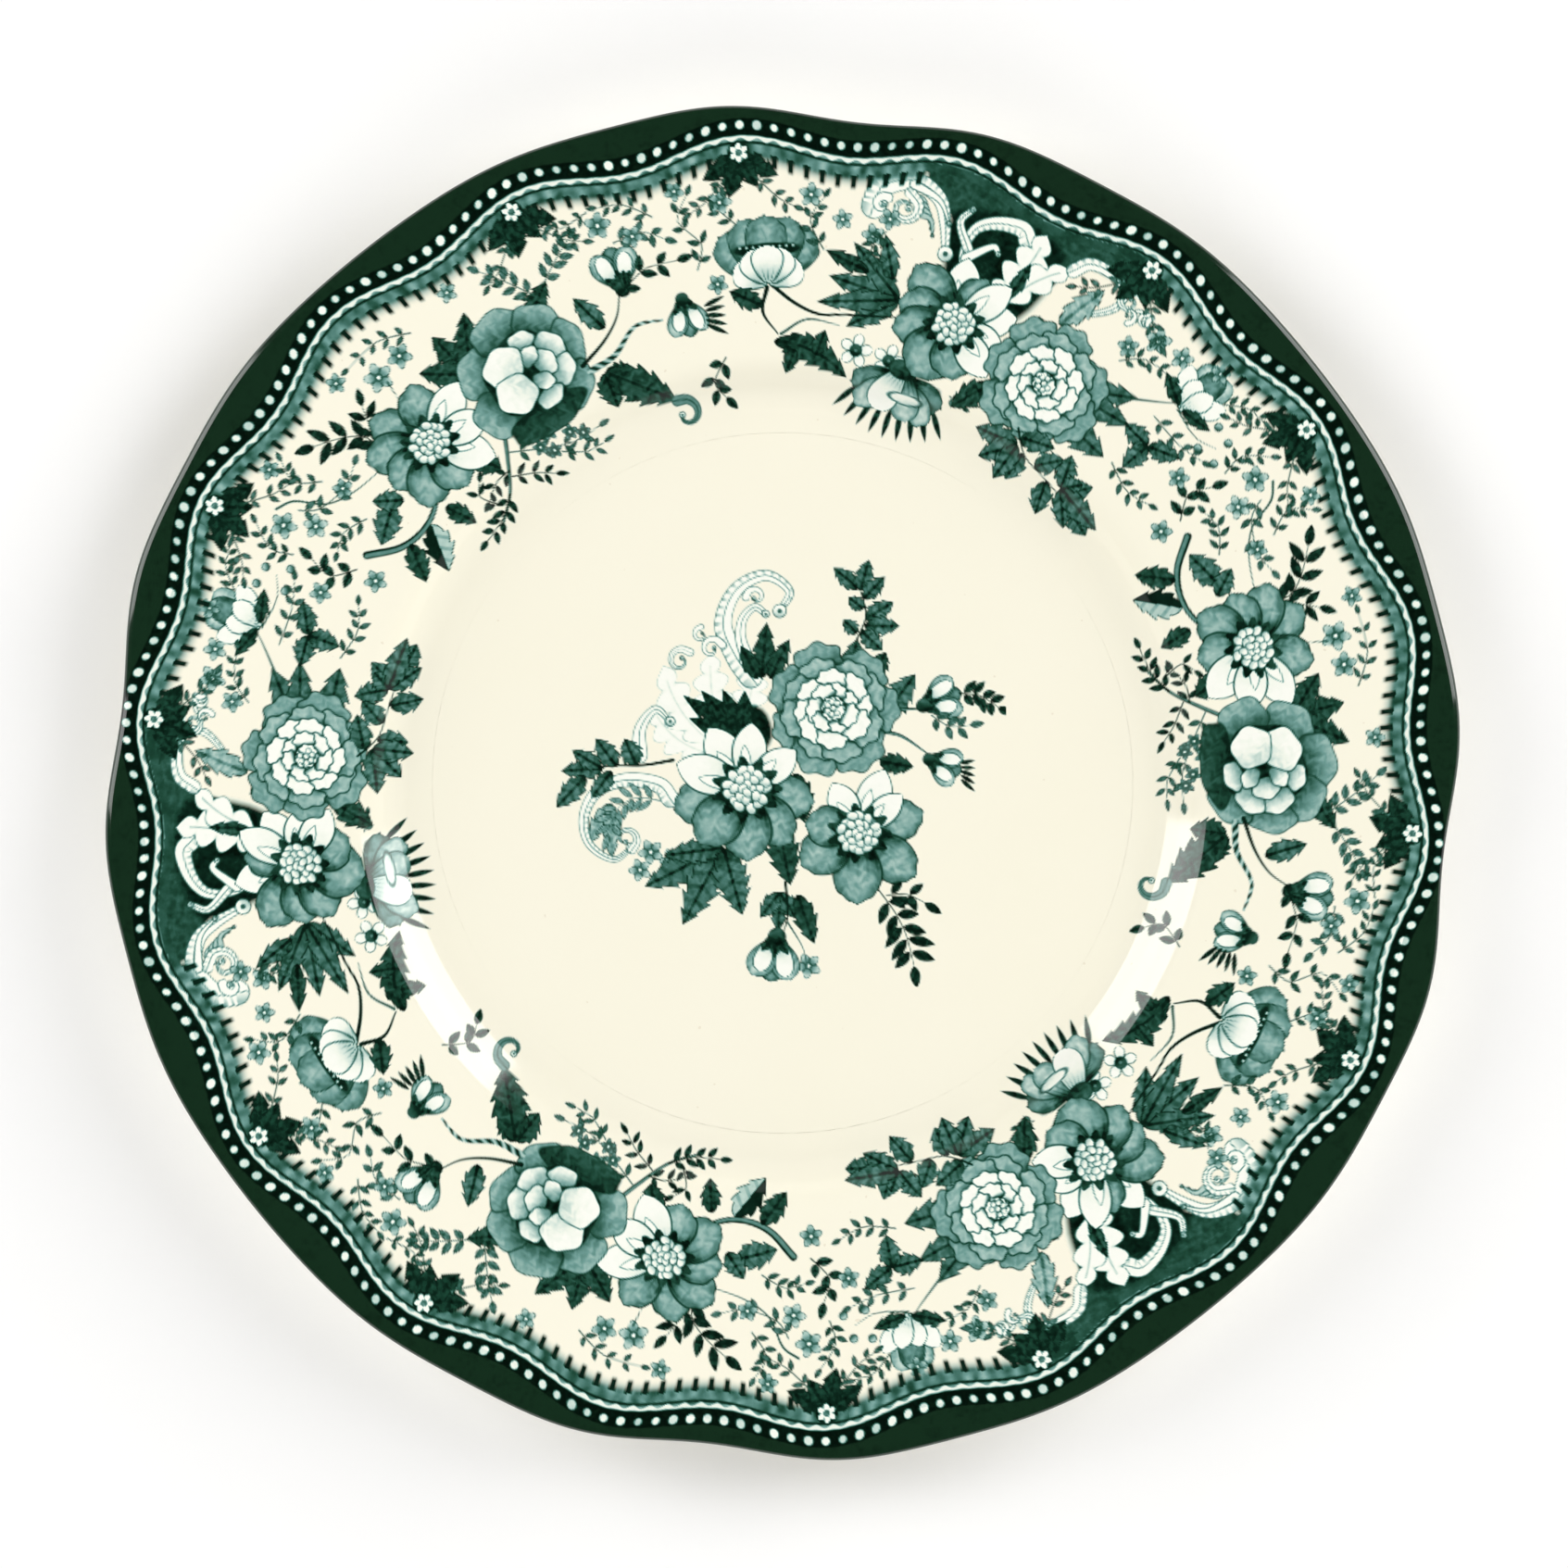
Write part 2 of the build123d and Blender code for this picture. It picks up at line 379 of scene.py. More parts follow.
def sprig(p, places, leaf_length, leaf_width, count, ink=DEEP, light=None, spread=48.0, first=0.1, teeth=0):
    """A thin curved stem with leaves in pairs, or by turns where they are toothed, and one at its end."""
    line = smooth_line(spots(p, places), 8)
    flat = Flat(p)
    stroke(flat, line[::4].tolist() + [line[-1].tolist()], 0.38, ink, end=0.6, steps=2)
    marks = np.linspace(first, 1, count)
    reach = np.linspace(0, 1, len(line))

    def point(mark):
        return np.array([np.interp(mark, reach, line[:, axis]) for axis in (0, 1)])

    for k, mark in enumerate(marks):
        at, beyond = point(mark), min(mark + 0.05, 1.0)
        ahead = point(beyond) - point(beyond - 0.06)
        heading = np.degrees(np.arctan2(ahead[1], ahead[0]))
        turns = (0.0,) if k == count - 1 else (spread, -spread)
        if teeth and k < count - 1:
            turns = turns[k % 2:k % 2 + 1]
        for turn in turns:
            c, s = direction(heading + turn + 6 * np.sin(k * 2.3))
            size = leaf_length * (1 - 0.12 * np.sin(k * 1.7 + turn))
            base = at + 0.25 * np.array((c, s))
            leaf(flat, base, base + size * np.array((c, s)), leaf_width, ink,
                 ink - 0.25 if light is None else light, line=0.16, teeth=teeth)


class Flat:
    """The same print, with flat places: x along `heading` and y to its left, from `at`."""

    def __init__(self, p, at=(0.0, 0.0), heading=0.0):
        self.lay, self.at, self.heading = p.lay, np.array(at, float), heading
        c, s = direction(heading)
        self.ahead, self.across = np.array((c, s)), np.array((-s, c))

    def spot(self, place):
        return self.at + place[0] * self.ahead + place[1] * self.across, self.heading + 90.0


def headed(p, place, way):
    """The flat print whose x runs from place towards `way`."""
    at, up = p.spot(place)
    return Flat(p, at, up - 90 + way)


def oak(p, base, tip, width, teeth=4):
    leaf(p, base, tip, width, DARK, MID, teeth=teeth)


def ivy(p, base, tip, width, teeth=4):
    leaf(p, base, tip, width, DARK, DEEP, teeth=teeth)


def fan(p, kind, base, *tips, teeth=4):
    """Leaves of one kind from one base, one for each (tip, width)."""
    for tip, width in tips:
        kind(p, base, tip, width, teeth)


def each(p, kind, *leaves):
    """Leaves of one kind, as (base, tip, width)."""
    for base, tip, width in leaves:
        kind(p, base, tip, width)


def fern(p, places, length, width, count):
    sprig(p, places, length, width, count, DEEP, MID)


def vine(p, places, length, width, count):
    sprig(p, places, length, width, count, DARK, DEEP)


def volute(p, place, turn, width, **looks):
    """A scroll along a spiral; turn is the spiral's radius, start and sweep."""
    scroll(p, curl(p, place, *turn), width, **looks)


def florets(p, ink, spin, *places):
    """Small flowers, one for each (place, size), each turned by its size times spin."""
    for place, size in places:
        floret(p, place, size, ink=ink, turn=spin * size)


def patch(p, places, ink=DEEP, mottle=0.12, edge=0.3, seed=3):
    """A mottled ground inside a closed row of places."""
    line = smooth_line([p.spot(place)[0] for place in list(places) + [places[0]]], 4)
    centre = (line.min(0) + line.max(0)) / 2
    line = line - centre

    def brush(x, y):
        d, _, _ = near_line(x, y, line)
        inside = np.zeros(x.size, bool)
        for (ax, ay), (bx, by) in zip(line, line[1:]):
            crosses = (ay > y) != (by > y)
            with np.errstate(divide="ignore", invalid="ignore"):
                inside ^= crosses & (x < (bx - ax) * (y - ay) / (by - ay) + ax)
        d = np.where(inside, d, -d)
        tone = ink + mottle * noise(x, y, 4.0, seed) + 0.5 * mottle * noise(x, y, 1.4, seed + 1)
        return soft(d, edge), np.minimum(tone, 1.0)

    p.lay(centre, np.abs(line).max() + 1, brush)


# ==== flowers =====================================================================================
def stamens(p, place, radius, count=13, seed=1):
    """A flower's eye: a dark disc crowded with white anthers."""
    lobe(p, place, 2.7 * radius, 2.5 * radius, ink=DARK, light=DARK - 0.1, waves=11, wave=0.16, line=0)
    lobe(p, place, 2 * radius, 1.9 * radius, ink=DEEP, light=MID, waves=9, wave=0.08)
    draw = np.random.default_rng(seed)
    flat = Flat(p, p.spot(place)[0])
    for ring, share, size in ((count, 0.82, 0.30), (count * 2 // 3, 0.5, 0.27), (4, 0.18, 0.25)):
        for k in range(ring):
            outward = np.array(direction(360 * k / ring + draw.uniform(-8, 8)))
            reach = radius * share * draw.uniform(0.9, 1.08)
            lobe(flat, reach * outward, 2 * size * radius, 1.5 * size * radius, way=draw.uniform(0, 180),
                 ink=PALE, light=WHITE, line=0.13)


def anemone(p, place, eye, petals, seed=1):
    """An open flower: petals as (direction, length, width, colour), colour "w" white or "t" teal."""
    for way, length, width, colour in petals:
        if colour == "w":
            petal(p, place, way, 1.2 * length, 0.88 * width, ink=PALE - 0.1, tip=WHITE, point=0.8,
                  hatch=4, line=0.28)
            petal(p, place, way + 7, 0.8 * length, 0.3 * width, ink=PALE, tip=WHITE, point=0.9, hatch=2,
                  line=0.14)
        else:
            petal(p, place, way, 1.16 * length, width, ink=DARK, tip=0.37, point=0.62, hatch=5, line=0.34,
                  ruffle=0.18)
    stamens(p, place, eye, seed=seed)


def rose(p, place, size, seed=2):
    """A full rose: rings of petals, teal outside and white towards a dark, crowded middle."""
    flat = Flat(p, p.spot(place)[0])
    draw = np.random.default_rng(seed)
    lobe(flat, (0, 0), 1.7 * size, 1.7 * size, ink=DEEP, light=DEEP)
    for reach, count, width, light, turn in ((1.0, 7, 0.74, 0.42, 0.0), (0.84, 8, 0.60, 0.34, 20.0),
                                             (0.70, 8, 0.44, WHITE, 5.0), (0.52, 7, 0.36, WHITE, 31.0),
                                             (0.34, 6, 0.26, WHITE, 12.0)):
        core = 2 * size * (reach - 0.14)
        dusk, dawn = (-0.62, 0.06) if light == WHITE else (-0.6, 0.4)
        lobe(flat, (0, 0), core, core, ink=DARK, light=DARK, line=0)
        for k in range(count):
            way = 360 * k / count + turn + draw.uniform(-7, 7)
            big = size * width * draw.uniform(0.88, 1.1)
            centre = size * (reach - 0.26) * np.array(direction(way))
            lobe(flat, centre, big * 1.16, big * 0.94, way=way + 90, ink=DARK, light=light, lit=way,
                 line=0.26, waves=7, wave=0.08, dusk=dusk, dawn=dawn)
    for k in range(7):
        centre = 0.1 * size * (k > 0) * np.array(direction(360 * k / 7))
        lobe(flat, centre, 0.1 * size, 0.1 * size, ink=PALE, light=WHITE, line=0.1)


def bud(p, place, way, length, width, ink=MID, heart=DEEP):
    """A half-open bud: outer petals, a pale heart, and sepals at its foot."""
    flat = headed(p, place, way)
    foot, sepals = (-0.5 * length, 0), (-0.56 * length, 0)
    for turn, base, tip in ((0, heart, MID), (26, ink, PALE), (-26, ink, PALE)):
        petal(flat, foot, turn, length, width * 0.72, ink=base, tip=tip, point=0.3)
    for side, share in ((1, 0.86), (-1, 0.8)):
        petal(flat, (foot[0], side * 0.12 * width), side * 13, share * length, width * 0.5, ink=PALE,
              tip=WHITE)
    for turn in (-38, 0, 38):
        c, s = direction(turn)
        tip = sepals[0] + 0.5 * length * c, 0.5 * length * s
        leaf(flat, sepals, tip, 0.26 * width, ink=DARK, light=DEEP, line=0.12)
    knob = Flat(p, flat.spot((-0.52 * length, 0))[0])
    lobe(knob, (0, 0), 0.42 * width, 0.42 * width, ink=DARK, light=DEEP, line=0.1)


def tulip(p, place, way, length, width):
    """A cup of white outer petals round a teal heart."""
    flat, foot = headed(p, place, way), (-0.5 * length, 0)
    for turn, reach, wide, tip in ((12, 1.0, 0.62, PALE), (-12, 1.0, 0.62, PALE), (0, 0.96, 0.6, MID)):
        petal(flat, foot, turn, reach * length, wide * width, ink=DARK, tip=tip, hatch=5)
    for turn, reach in ((38, 0.8), (-38, 0.8), (17, 0.62), (-17, 0.62)):
        petal(flat, foot, turn, reach * length, 0.46 * width, ink=PALE - 0.1, tip=WHITE, point=0.35)


def poppy(p, place, way, length, width):
    """A wide flower seen from the side: teal petals behind, a beaded heart, white ones in front."""
    flat, foot = headed(p, place, way), (-0.42 * length, 0)
    for turn, reach in ((44, 1.0), (-44, 1.0), (22, 1.02), (-22, 1.02), (0, 1.0)):
        petal(flat, foot, turn, reach * length, 0.46 * width, ink=DARK, tip=0.40, hatch=5, ruffle=0.2)
    lobe(flat, (0.08 * length, 0), 0.66 * width, 0.2 * length, way=90, ink=DARK, light=DARK)
    for k in range(9):
        bead = Flat(p, flat.spot((0.12 * length, (k - 4) * 0.062 * width))[0])
        lobe(bead, (0, 0), 0.9, 0.9, ink=PALE, light=WHITE, line=0.2)
    for turn in (62, -62, 30, -30, 0):
        petal(flat, foot, turn, 0.56 * length, 0.36 * width, ink=PALE, tip=WHITE, point=0.1, line=0.24)


def carnation(p, place, way, length, width):
    """A flat flower seen from the side, with a fringe of small dark teeth along its far edge."""
    flat = headed(p, place, way)
    for k in range(9):
        share = (k - 4) / 4
        base = np.array((0.16 * length * (1 - share ** 2), 0.38 * width * share))
        tip = base + 0.46 * length * np.array(direction(34 * share))
        leaf(flat, base, tip, 1.3, ink=DARK, light=DEEP, line=0.12)
    for turn, reach, tip in ((70, 0.95, MID), (-70, 0.95, MID), (46, 1.0, PALE), (-46, 1.0, PALE)):
        petal(flat, (-0.3 * length, 0), turn, reach * width * 0.5, 0.5 * length, ink=DARK, tip=tip,
              hatch=6, ruffle=0.3)
    foot = (-0.42 * length, 0)
    petal(flat, foot, 20, 0.75 * length, 0.34 * width, ink=DEEP, tip=PALE, hatch=6)
    petal(flat, foot, -22, 0.7 * length, 0.36 * width, ink=PALE, tip=WHITE, hatch=6)
    upright = 90 - flat.heading
    lobe(flat, (-0.02 * length, 0.1 * width), 0.36 * width, 0.16 * length, way=90, ink=PALE, light=WHITE,
         lit=upright)
    lobe(flat, foot, 0.3 * width, 0.3 * length, way=90, ink=DARK, light=DEEP, lit=upright)


def peony(p, place, size):
    """A cabbage of petals: teal outside, two large white lobes on the left, small folds on the right."""
    flat = headed(p, place, 0)

    def put(ink, light, *lobes, lit=None):
        """Lobes as (direction, distance, width, height, turn), lit from outside unless lit says."""
        for way, reach, wide, tall, turn in lobes:
            c, s = direction(way)
            lobe(flat, (size * reach * c, size * reach * s), size * wide, size * tall, way=turn, ink=ink,
                 light=light, lit=way if lit is None else lit, waves=5, wave=0.05)

    put(DEEP + 0.1, PALE + 0.14, (150, 0.80, 0.95, 0.8, 60), (95, 0.86, 1.0, 0.72, 5),
        (48, 0.86, 0.9, 0.66, -40), (5, 0.84, 0.9, 0.6, 80), (-45, 0.84, 0.9, 0.62, 45),
        (205, 0.84, 0.95, 0.8, -50))
    put(DARK, DEEP, (-95, 0.80, 1.5, 0.6, 4), lit=-90)
    put(DARK, DARK, (0, 0.0, 1.5, 1.4, 0), lit=90)
    put(MID, WHITE + 0.1, (20, 0.62, 0.6, 0.42, -60), (-25, 0.62, 0.6, 0.42, 50),
        (70, 0.55, 0.5, 0.36, -10), (-75, 0.55, 0.55, 0.36, 15), (0, 0.36, 0.5, 0.4, 90),
        (55, 0.28, 0.42, 0.32, 30), (-55, 0.30, 0.42, 0.32, -30))
    put(PALE - 0.1, WHITE, (135, 0.42, 0.78, 0.66, 20), lit=120)
    put(PALE - 0.1, WHITE, (212, 0.40, 0.74, 0.70, -20), lit=200)


def acanthus(p, base, tip, width, lobes=4, shade=MID, bend=0.0, edge=DEEP):
    """A jagged white leaf with deep round lobes."""
    def paint(x, y, u, inside, v, length):
        teeth = np.abs(np.sin(np.pi * (lobes * inside - 0.5 * np.abs(v) / width)))
        half = 0.5 * width * np.sin(np.pi * inside ** 0.9) ** 0.6 * (0.5 + 0.5 * teeth)
        d = (half - np.abs(v) - np.abs(u - inside) * length) * 0.85
        tone = mix(np.full(x.size, WHITE), shade, 0.7 * soft(0.2 - np.abs(v), 0.2) * (u < 0.85))
        rim = fade(np.abs(v) / np.maximum(half, 0.1), 0.2, 0.9)
        tone = mix(tone, shade, 0.5 * fade(0.5 - teeth, 0, 0.5) * rim)
        return soft(d), mix(tone, edge, soft(0.2 - d))

    lay_blade(p, base, tip, width, bend, paint)


# ==== the border: one dark-ground panel, one open panel, and what runs along the edge ==============
def border_ground(p):
    """The dark ground behind the first panel's flowers, with its scrolls and shells."""
    patch(p, [(76.8, 126.8), (76.2, 123), (74.4, 120.4), (73, 116), (72.6, 110), (70, 103), (64.9, 103),
              (61.8, 111), (60.2, 118.6), (56.2, 120.4), (54.8, 124.6), (55.4, 128.6), (60, 129),
              (64, 127), (70, 129), (74, 128)], ink=0.77, mottle=0.07)
    patch(p, [(73.6, 119), (70, 121.6), (66, 121.8), (62.2, 119.6), (61.6, 112), (64, 102), (71, 102),
              (73, 110)], ink=DARK, mottle=0.05, edge=0.8)
    scroll(p, [(81, 116.8), (80.4, 121), (77.6, 123), (75, 120.8), (73.8, 116.4), (72.9, 110.6)], 3.6,
           comb=22)
    volute(p, (80.2, 117.2), (1.7, 60, 330), 1.5, ribs=0)
    for k in range(4):
        scroll(p, [(77.9 - 0.5 * k, 120.2 - 1.1 * k), (76.4 - 0.4 * k, 119.8 - 1.2 * k),
                   (75.6 - 0.3 * k, 117.2 - 1.3 * k)], 1.0, ribs=0, fill=PALE, end=0.4)
    volute(p, (78, 117.3), (3.2, 80, -430), 1.7, comb=16)
    scroll(p, [(77.6, 122.3), (74.9, 120.4), (73.4, 116.5)], 1.3, ribs=0)
    scroll(p, [(65.6, 118.6), (66.6, 120.4), (69, 119.6), (70.8, 117), (71.2, 112), (70.6, 108)], 2.6,
           comb=16)
    scroll(p, [(70.9, 113), (72.4, 117.4), (71.6, 120.6)], 1.5, end=0.6, comb=9)
    scroll(p, [(70.8, 111), (68.6, 115), (67.8, 114)], 1.4, ribs=0, end=0.6)
    acanthus(p, (66.4, 105), (64.2, 121.4), 9.2, lobes=4, bend=-0.06)
    acanthus(p, (65, 106), (60.6, 117.4), 7.0, lobes=3, bend=0.08)
    ivy(p, (65, 107), (64.4, 115), 2.6, 3)
    scroll(p, [(60.4, 117.6), (59.3, 120.4), (57.2, 121), (55.1, 119.4), (55.2, 115), (58.9, 108.6)], 2.0,
           comb=20)
    leaf(p, (58.9, 107), (56.8, 117.6), 4.6, MID + 0.1, PALE, teeth=4)
    volute(p, (54.2, 118.4), (2.6, 60, 400), 1.5)
    for turn, size in ((0, 2.0), (70, 1.6), (-65, 1.6), (140, 1.3)):
        volute(p, (52.7 - 0.012 * turn, 116.6 + 0.006 * turn), (size, turn, 300), 1.0, ribs=0, line=0.24)
    florets(p, 0.34, 20, ((49.6, 115.8), 2.1), ((46.7, 116.4), 1.8), ((80.6, 110.9), 1.8),
            ((83.9, 113.2), 1.6))


def border_panel_a(p):
    """The dark-ground panel's flowers: an open one on the left, a full rose on the right."""
    border_ground(p)
    fan(p, oak, (76.4, 99.4), ((84.8, 102), 4.6), ((82.5, 109.1), 4.2), ((82.1, 92.3), 4.4),
        ((86, 96.6), 4.0))
    oak(p, (77.6, 103), (79.4, 111.6), 3.6)
    ivy(p, (80.4, 103.6), (85.4, 107), 3.2, 3)
    leaf(p, (91.1, 88.7), (81.0, 82.3), 5.4, DARK, DEEP, teeth=6, bend=0.10)
    ivy(p, (88.4, 87), (89.6, 82.2), 3.0, 3)
    ivy(p, (85.6, 86), (84.6, 91.2), 3.2, 3)
    stroke(p, [(91.3, 99.8), (88.6, 96.2), (85.6, 94.2), (82.3, 94.6), (76, 96)], 0.9, DARK)
    stroke(p, [(90.2, 90), (87, 93), (83, 92.4)], 0.7, DEEP)
    for place in ((80.4, 87.9), (75.9, 87.2)):
        for k in range(5):
            petal(p, place, 72 * k + 10, 3.4, 2.6, ink=PALE - 0.1, tip=WHITE, point=0.4, hatch=3)
        lobe(p, place, 2.5, 2.5, ink=DARK, light=DEEP, line=0.2)
        lobe(p, place, 0.7, 0.7, ink=MID, light=MID, line=0)
    carnation(p, (73.8, 80.6), 268, 13.5, 21)
    fern(p, [(66.6, 84.4), (64.6, 83.6)], 2.0, 1.1, 2)
    for tip in ((61.3, 106.6), (52.2, 104.5), (47.3, 104.7), (45.8, 99.6)):
        oak(p, (54.5, 97), tip, 5.4)
    oak(p, (53, 92), (45.4, 91.6), 5.6)
    ivy(p, (62.6, 90), (65.9, 82.6), 5.0)
    anemone(p, (69.5, 98), 4.1, ((98, 11.2, 9.8, "w"), (25, 10.6, 9.6, "w"), (72, 9.6, 8.4, "t"),
                                 (-8, 9.2, 8.2, "w"), (143, 12.2, 10.8, "t"), (176, 10.4, 10.4, "t"),
                                 (203, 10.8, 9.4, "t"), (250, 11.4, 12.8, "t"), (-72, 9.6, 10.6, "t"),
                                 (-38, 10.4, 9.2, "w"), (52, 11.4, 9, "w")), seed=5)
    rose(p, (56.8, 95.5), 12.2)
    sprig(p, [(56.4, 85.4), (53.4, 81.6), (48.6, 80.6), (43.6, 79.6)], 6.6, 4.2, 6, DARK, MID, teeth=3,
          spread=62)
    fan(p, oak, (55.2, 82.6), ((61.6, 81.4), 4.4), ((59.2, 76.6), 4.4), ((55.4, 74.4), 4.2))
    fan(p, oak, (46.6, 81.4), ((48.6, 87.6), 4.2), ((44.8, 84.8), 4.0), ((42.2, 76.2), 4.0),
        ((38.8, 80.8), 4.2))
    for tip in ((46.4, 99.4), (39.2, 102.6), (42.9, 92.8)):
        oak(p, (42.7, 99.4), tip, 4.2)
    fern(p, [(44.6, 104.4), (40.4, 104.2), (37.6, 105.6)], 2.4, 1.3, 5)
    stroke(p, [(47.6, 104), (45, 107.6), (43.4, 110.4)], 0.6, DEEP)
    tulip(p, (42.9, 114.5), 84, 11.6, 10.6)
    ivy(p, (43.6, 109.4), (47, 112.4), 2.8, 3)
    ivy(p, (43, 109.2), (39.4, 110.6), 2.8, 3)
    stroke(p, [(43.4, 108.6), (40, 107.6), (37.6, 109.4)], 0.45, DEEP)
    for place in ((37.3, 111.9), (38.9, 106.6), (36.5, 107.2), (39.2, 112.4)):
        lobe(p, place, 1.9, 1.9, ink=DEEP, light=PALE, lit=120)


def border_panel_b(p):
    """The open panel's flowers on the bare glaze: an open one, a peony, twigs and buds."""
    stroke(p, [(151.6, 115), (150, 112.6), (148.6, 107), (145.8, 103.6), (141, 101.6)], 0.6, DEEP)
    fern(p, [(150.6, 111), (149.4, 107.6), (146, 105.6), (143.6, 106.6)], 2.6, 1.4, 5)
    floret(p, (152.7, 112.2), 2.1, ink=0.36)
    floret(p, (151.2, 106.5), 1.9, ink=0.3, turn=30)
    sprig(p, [(140.2, 104.4), (140.4, 108.6), (142.2, 112.2), (144.2, 115)], 4.6, 2.1, 5, DARK,
          DARK - 0.08, spread=44)
    sprig(p, [(139.8, 106.5), (138.9, 110), (138.2, 112.6)], 3.6, 1.8, 3, DARK, DARK - 0.08)
    floret(p, (134.9, 114.3), 2.3, ink=0.34)
    floret(p, (131.9, 114.6), 2.0, ink=0.4, turn=25)
    stroke(p, [(134.6, 112.4), (135, 108.6)], 0.45, DEEP)
    stroke(p, [(151.3, 94.9), (148.3, 89.8), (144.6, 88), (141, 89.4), (138, 94)], 1.7, DARK, core=MID,
           end=0.6)
    oak(p, (144.4, 96), (149.4, 93.4), 5.2)
    oak(p, (143.2, 94.6), (145.6, 99.6), 4.0)
    ivy(p, (147.3, 88.6), (150.6, 82), 4.4)
    leaf(p, (143.6, 87.4), (147.6, 79.4), 5.4, DARK, DEEP, teeth=4, split=PALE)
    ivy(p, (140.6, 87.4), (139.6, 80.6), 3.8)
    stroke(p, [(127.6, 92), (130.2, 85.4), (133.2, 80), (137.2, 76.6)], 1.1, DARK, core=MID, end=0.5)
    vine(p, [(133.4, 79.8), (136.6, 77.4), (140.4, 76.8)], 2.8, 1.4, 5)
    vine(p, [(131.2, 83.2), (133.6, 83.2), (136, 81.6)], 2.4, 1.2, 3)
    vine(p, [(131.4, 82), (128.4, 79.6), (126.4, 77.4)], 2.6, 1.2, 4)
    fern(p, [(129.6, 86), (125.6, 82.6), (121.4, 80.4), (117.4, 80.6)], 2.8, 1.3, 5)
    for place in ((125.8, 83), (123.6, 84.4), (124.4, 81), (121.2, 82.4), (119.6, 81)):
        floret(p, place, 1.25, ink=0.62, petals=5)
    fern(p, [(123.6, 80), (120.4, 77.4), (117.8, 77.4)], 2.4, 1.1, 4)
    vine(p, [(135.4, 79.6), (136.6, 83.4), (135.4, 85.4)], 2.4, 1.2, 3)
    for tip in ((128.2, 113.4), (124.1, 113.6), (131.6, 109.4)):
        ivy(p, (127.4, 102.6), tip, 5.2, 5)
    ivy(p, (119.4, 104.6), (115.2, 111), 4.6)
    ivy(p, (133.4, 89.8), (131.8, 84.4), 4.8)
    anemone(p, (136, 98), 4.0, ((115, 11.2, 9.6, "t"), (62, 10.6, 9.6, "t"), (150, 11.6, 9.8, "t"),
                                (185, 10.2, 9.6, "t"), (222, 11.2, 10.4, "t"), (265, 9.8, 10.4, "t"),
                                (18, 11.4, 9.8, "w"), (-58, 11.2, 10.2, "w"), (-20, 10.6, 9.2, "w")),
            seed=9)
    peony(p, (121.9, 96.6), 11.8)
    stroke(p, [(115.6, 92.6), (112, 95.4), (109.6, 99), (108.4, 103.4)], 0.9, DARK)
    bud(p, (108.0, 108.3), 92, 8.6, 8.0, heart=DARK)
    oak(p, (111.4, 97.6), (113.4, 105.6), 4.2)
    vine(p, [(108.3, 103), (105, 106.4), (101.6, 106.6)], 3.2, 1.8, 4)
    fern(p, [(107.4, 113), (104.4, 113.6), (102.4, 111.4)], 2.6, 1.5, 4)
    stroke(p, [(115, 91), (111.4, 92), (108, 96), (104.6, 95.8)], 1.5, DARK, twist=9)
    bud(p, (101.6, 94.9), -86, 7.6, 6.8, heart=DARK)
    for lift in (-2, -1, 0, 1, 2):
        leaf(p, (99.4, 94.9 + 0.9 * lift), (96.8, 94.4 + 1.9 * lift), 1.1, DARK, DEEP)
    fan(p, ivy, (113.4, 89.6), ((109.6, 86), 5.2), ((113.6, 82.2), 5.2), ((105.4, 79.8), 6.8), teeth=5)
    volute(p, (104.6, 76.6), (3.3, 110, -300), 1.6, fill=MID, rib=DEEP)
    fern(p, [(117, 109.4), (118.8, 114), (120.6, 118.4)], 3.0, 1.6, 5)
    fern(p, [(115.6, 110.6), (113.4, 114), (111.6, 116.6)], 3.0, 1.6, 5)
    floret(p, (108.4, 117.2), 2.1, ink=0.4)
    floret(p, (124.4, 118.6), 1.6, ink=0.34, turn=15)


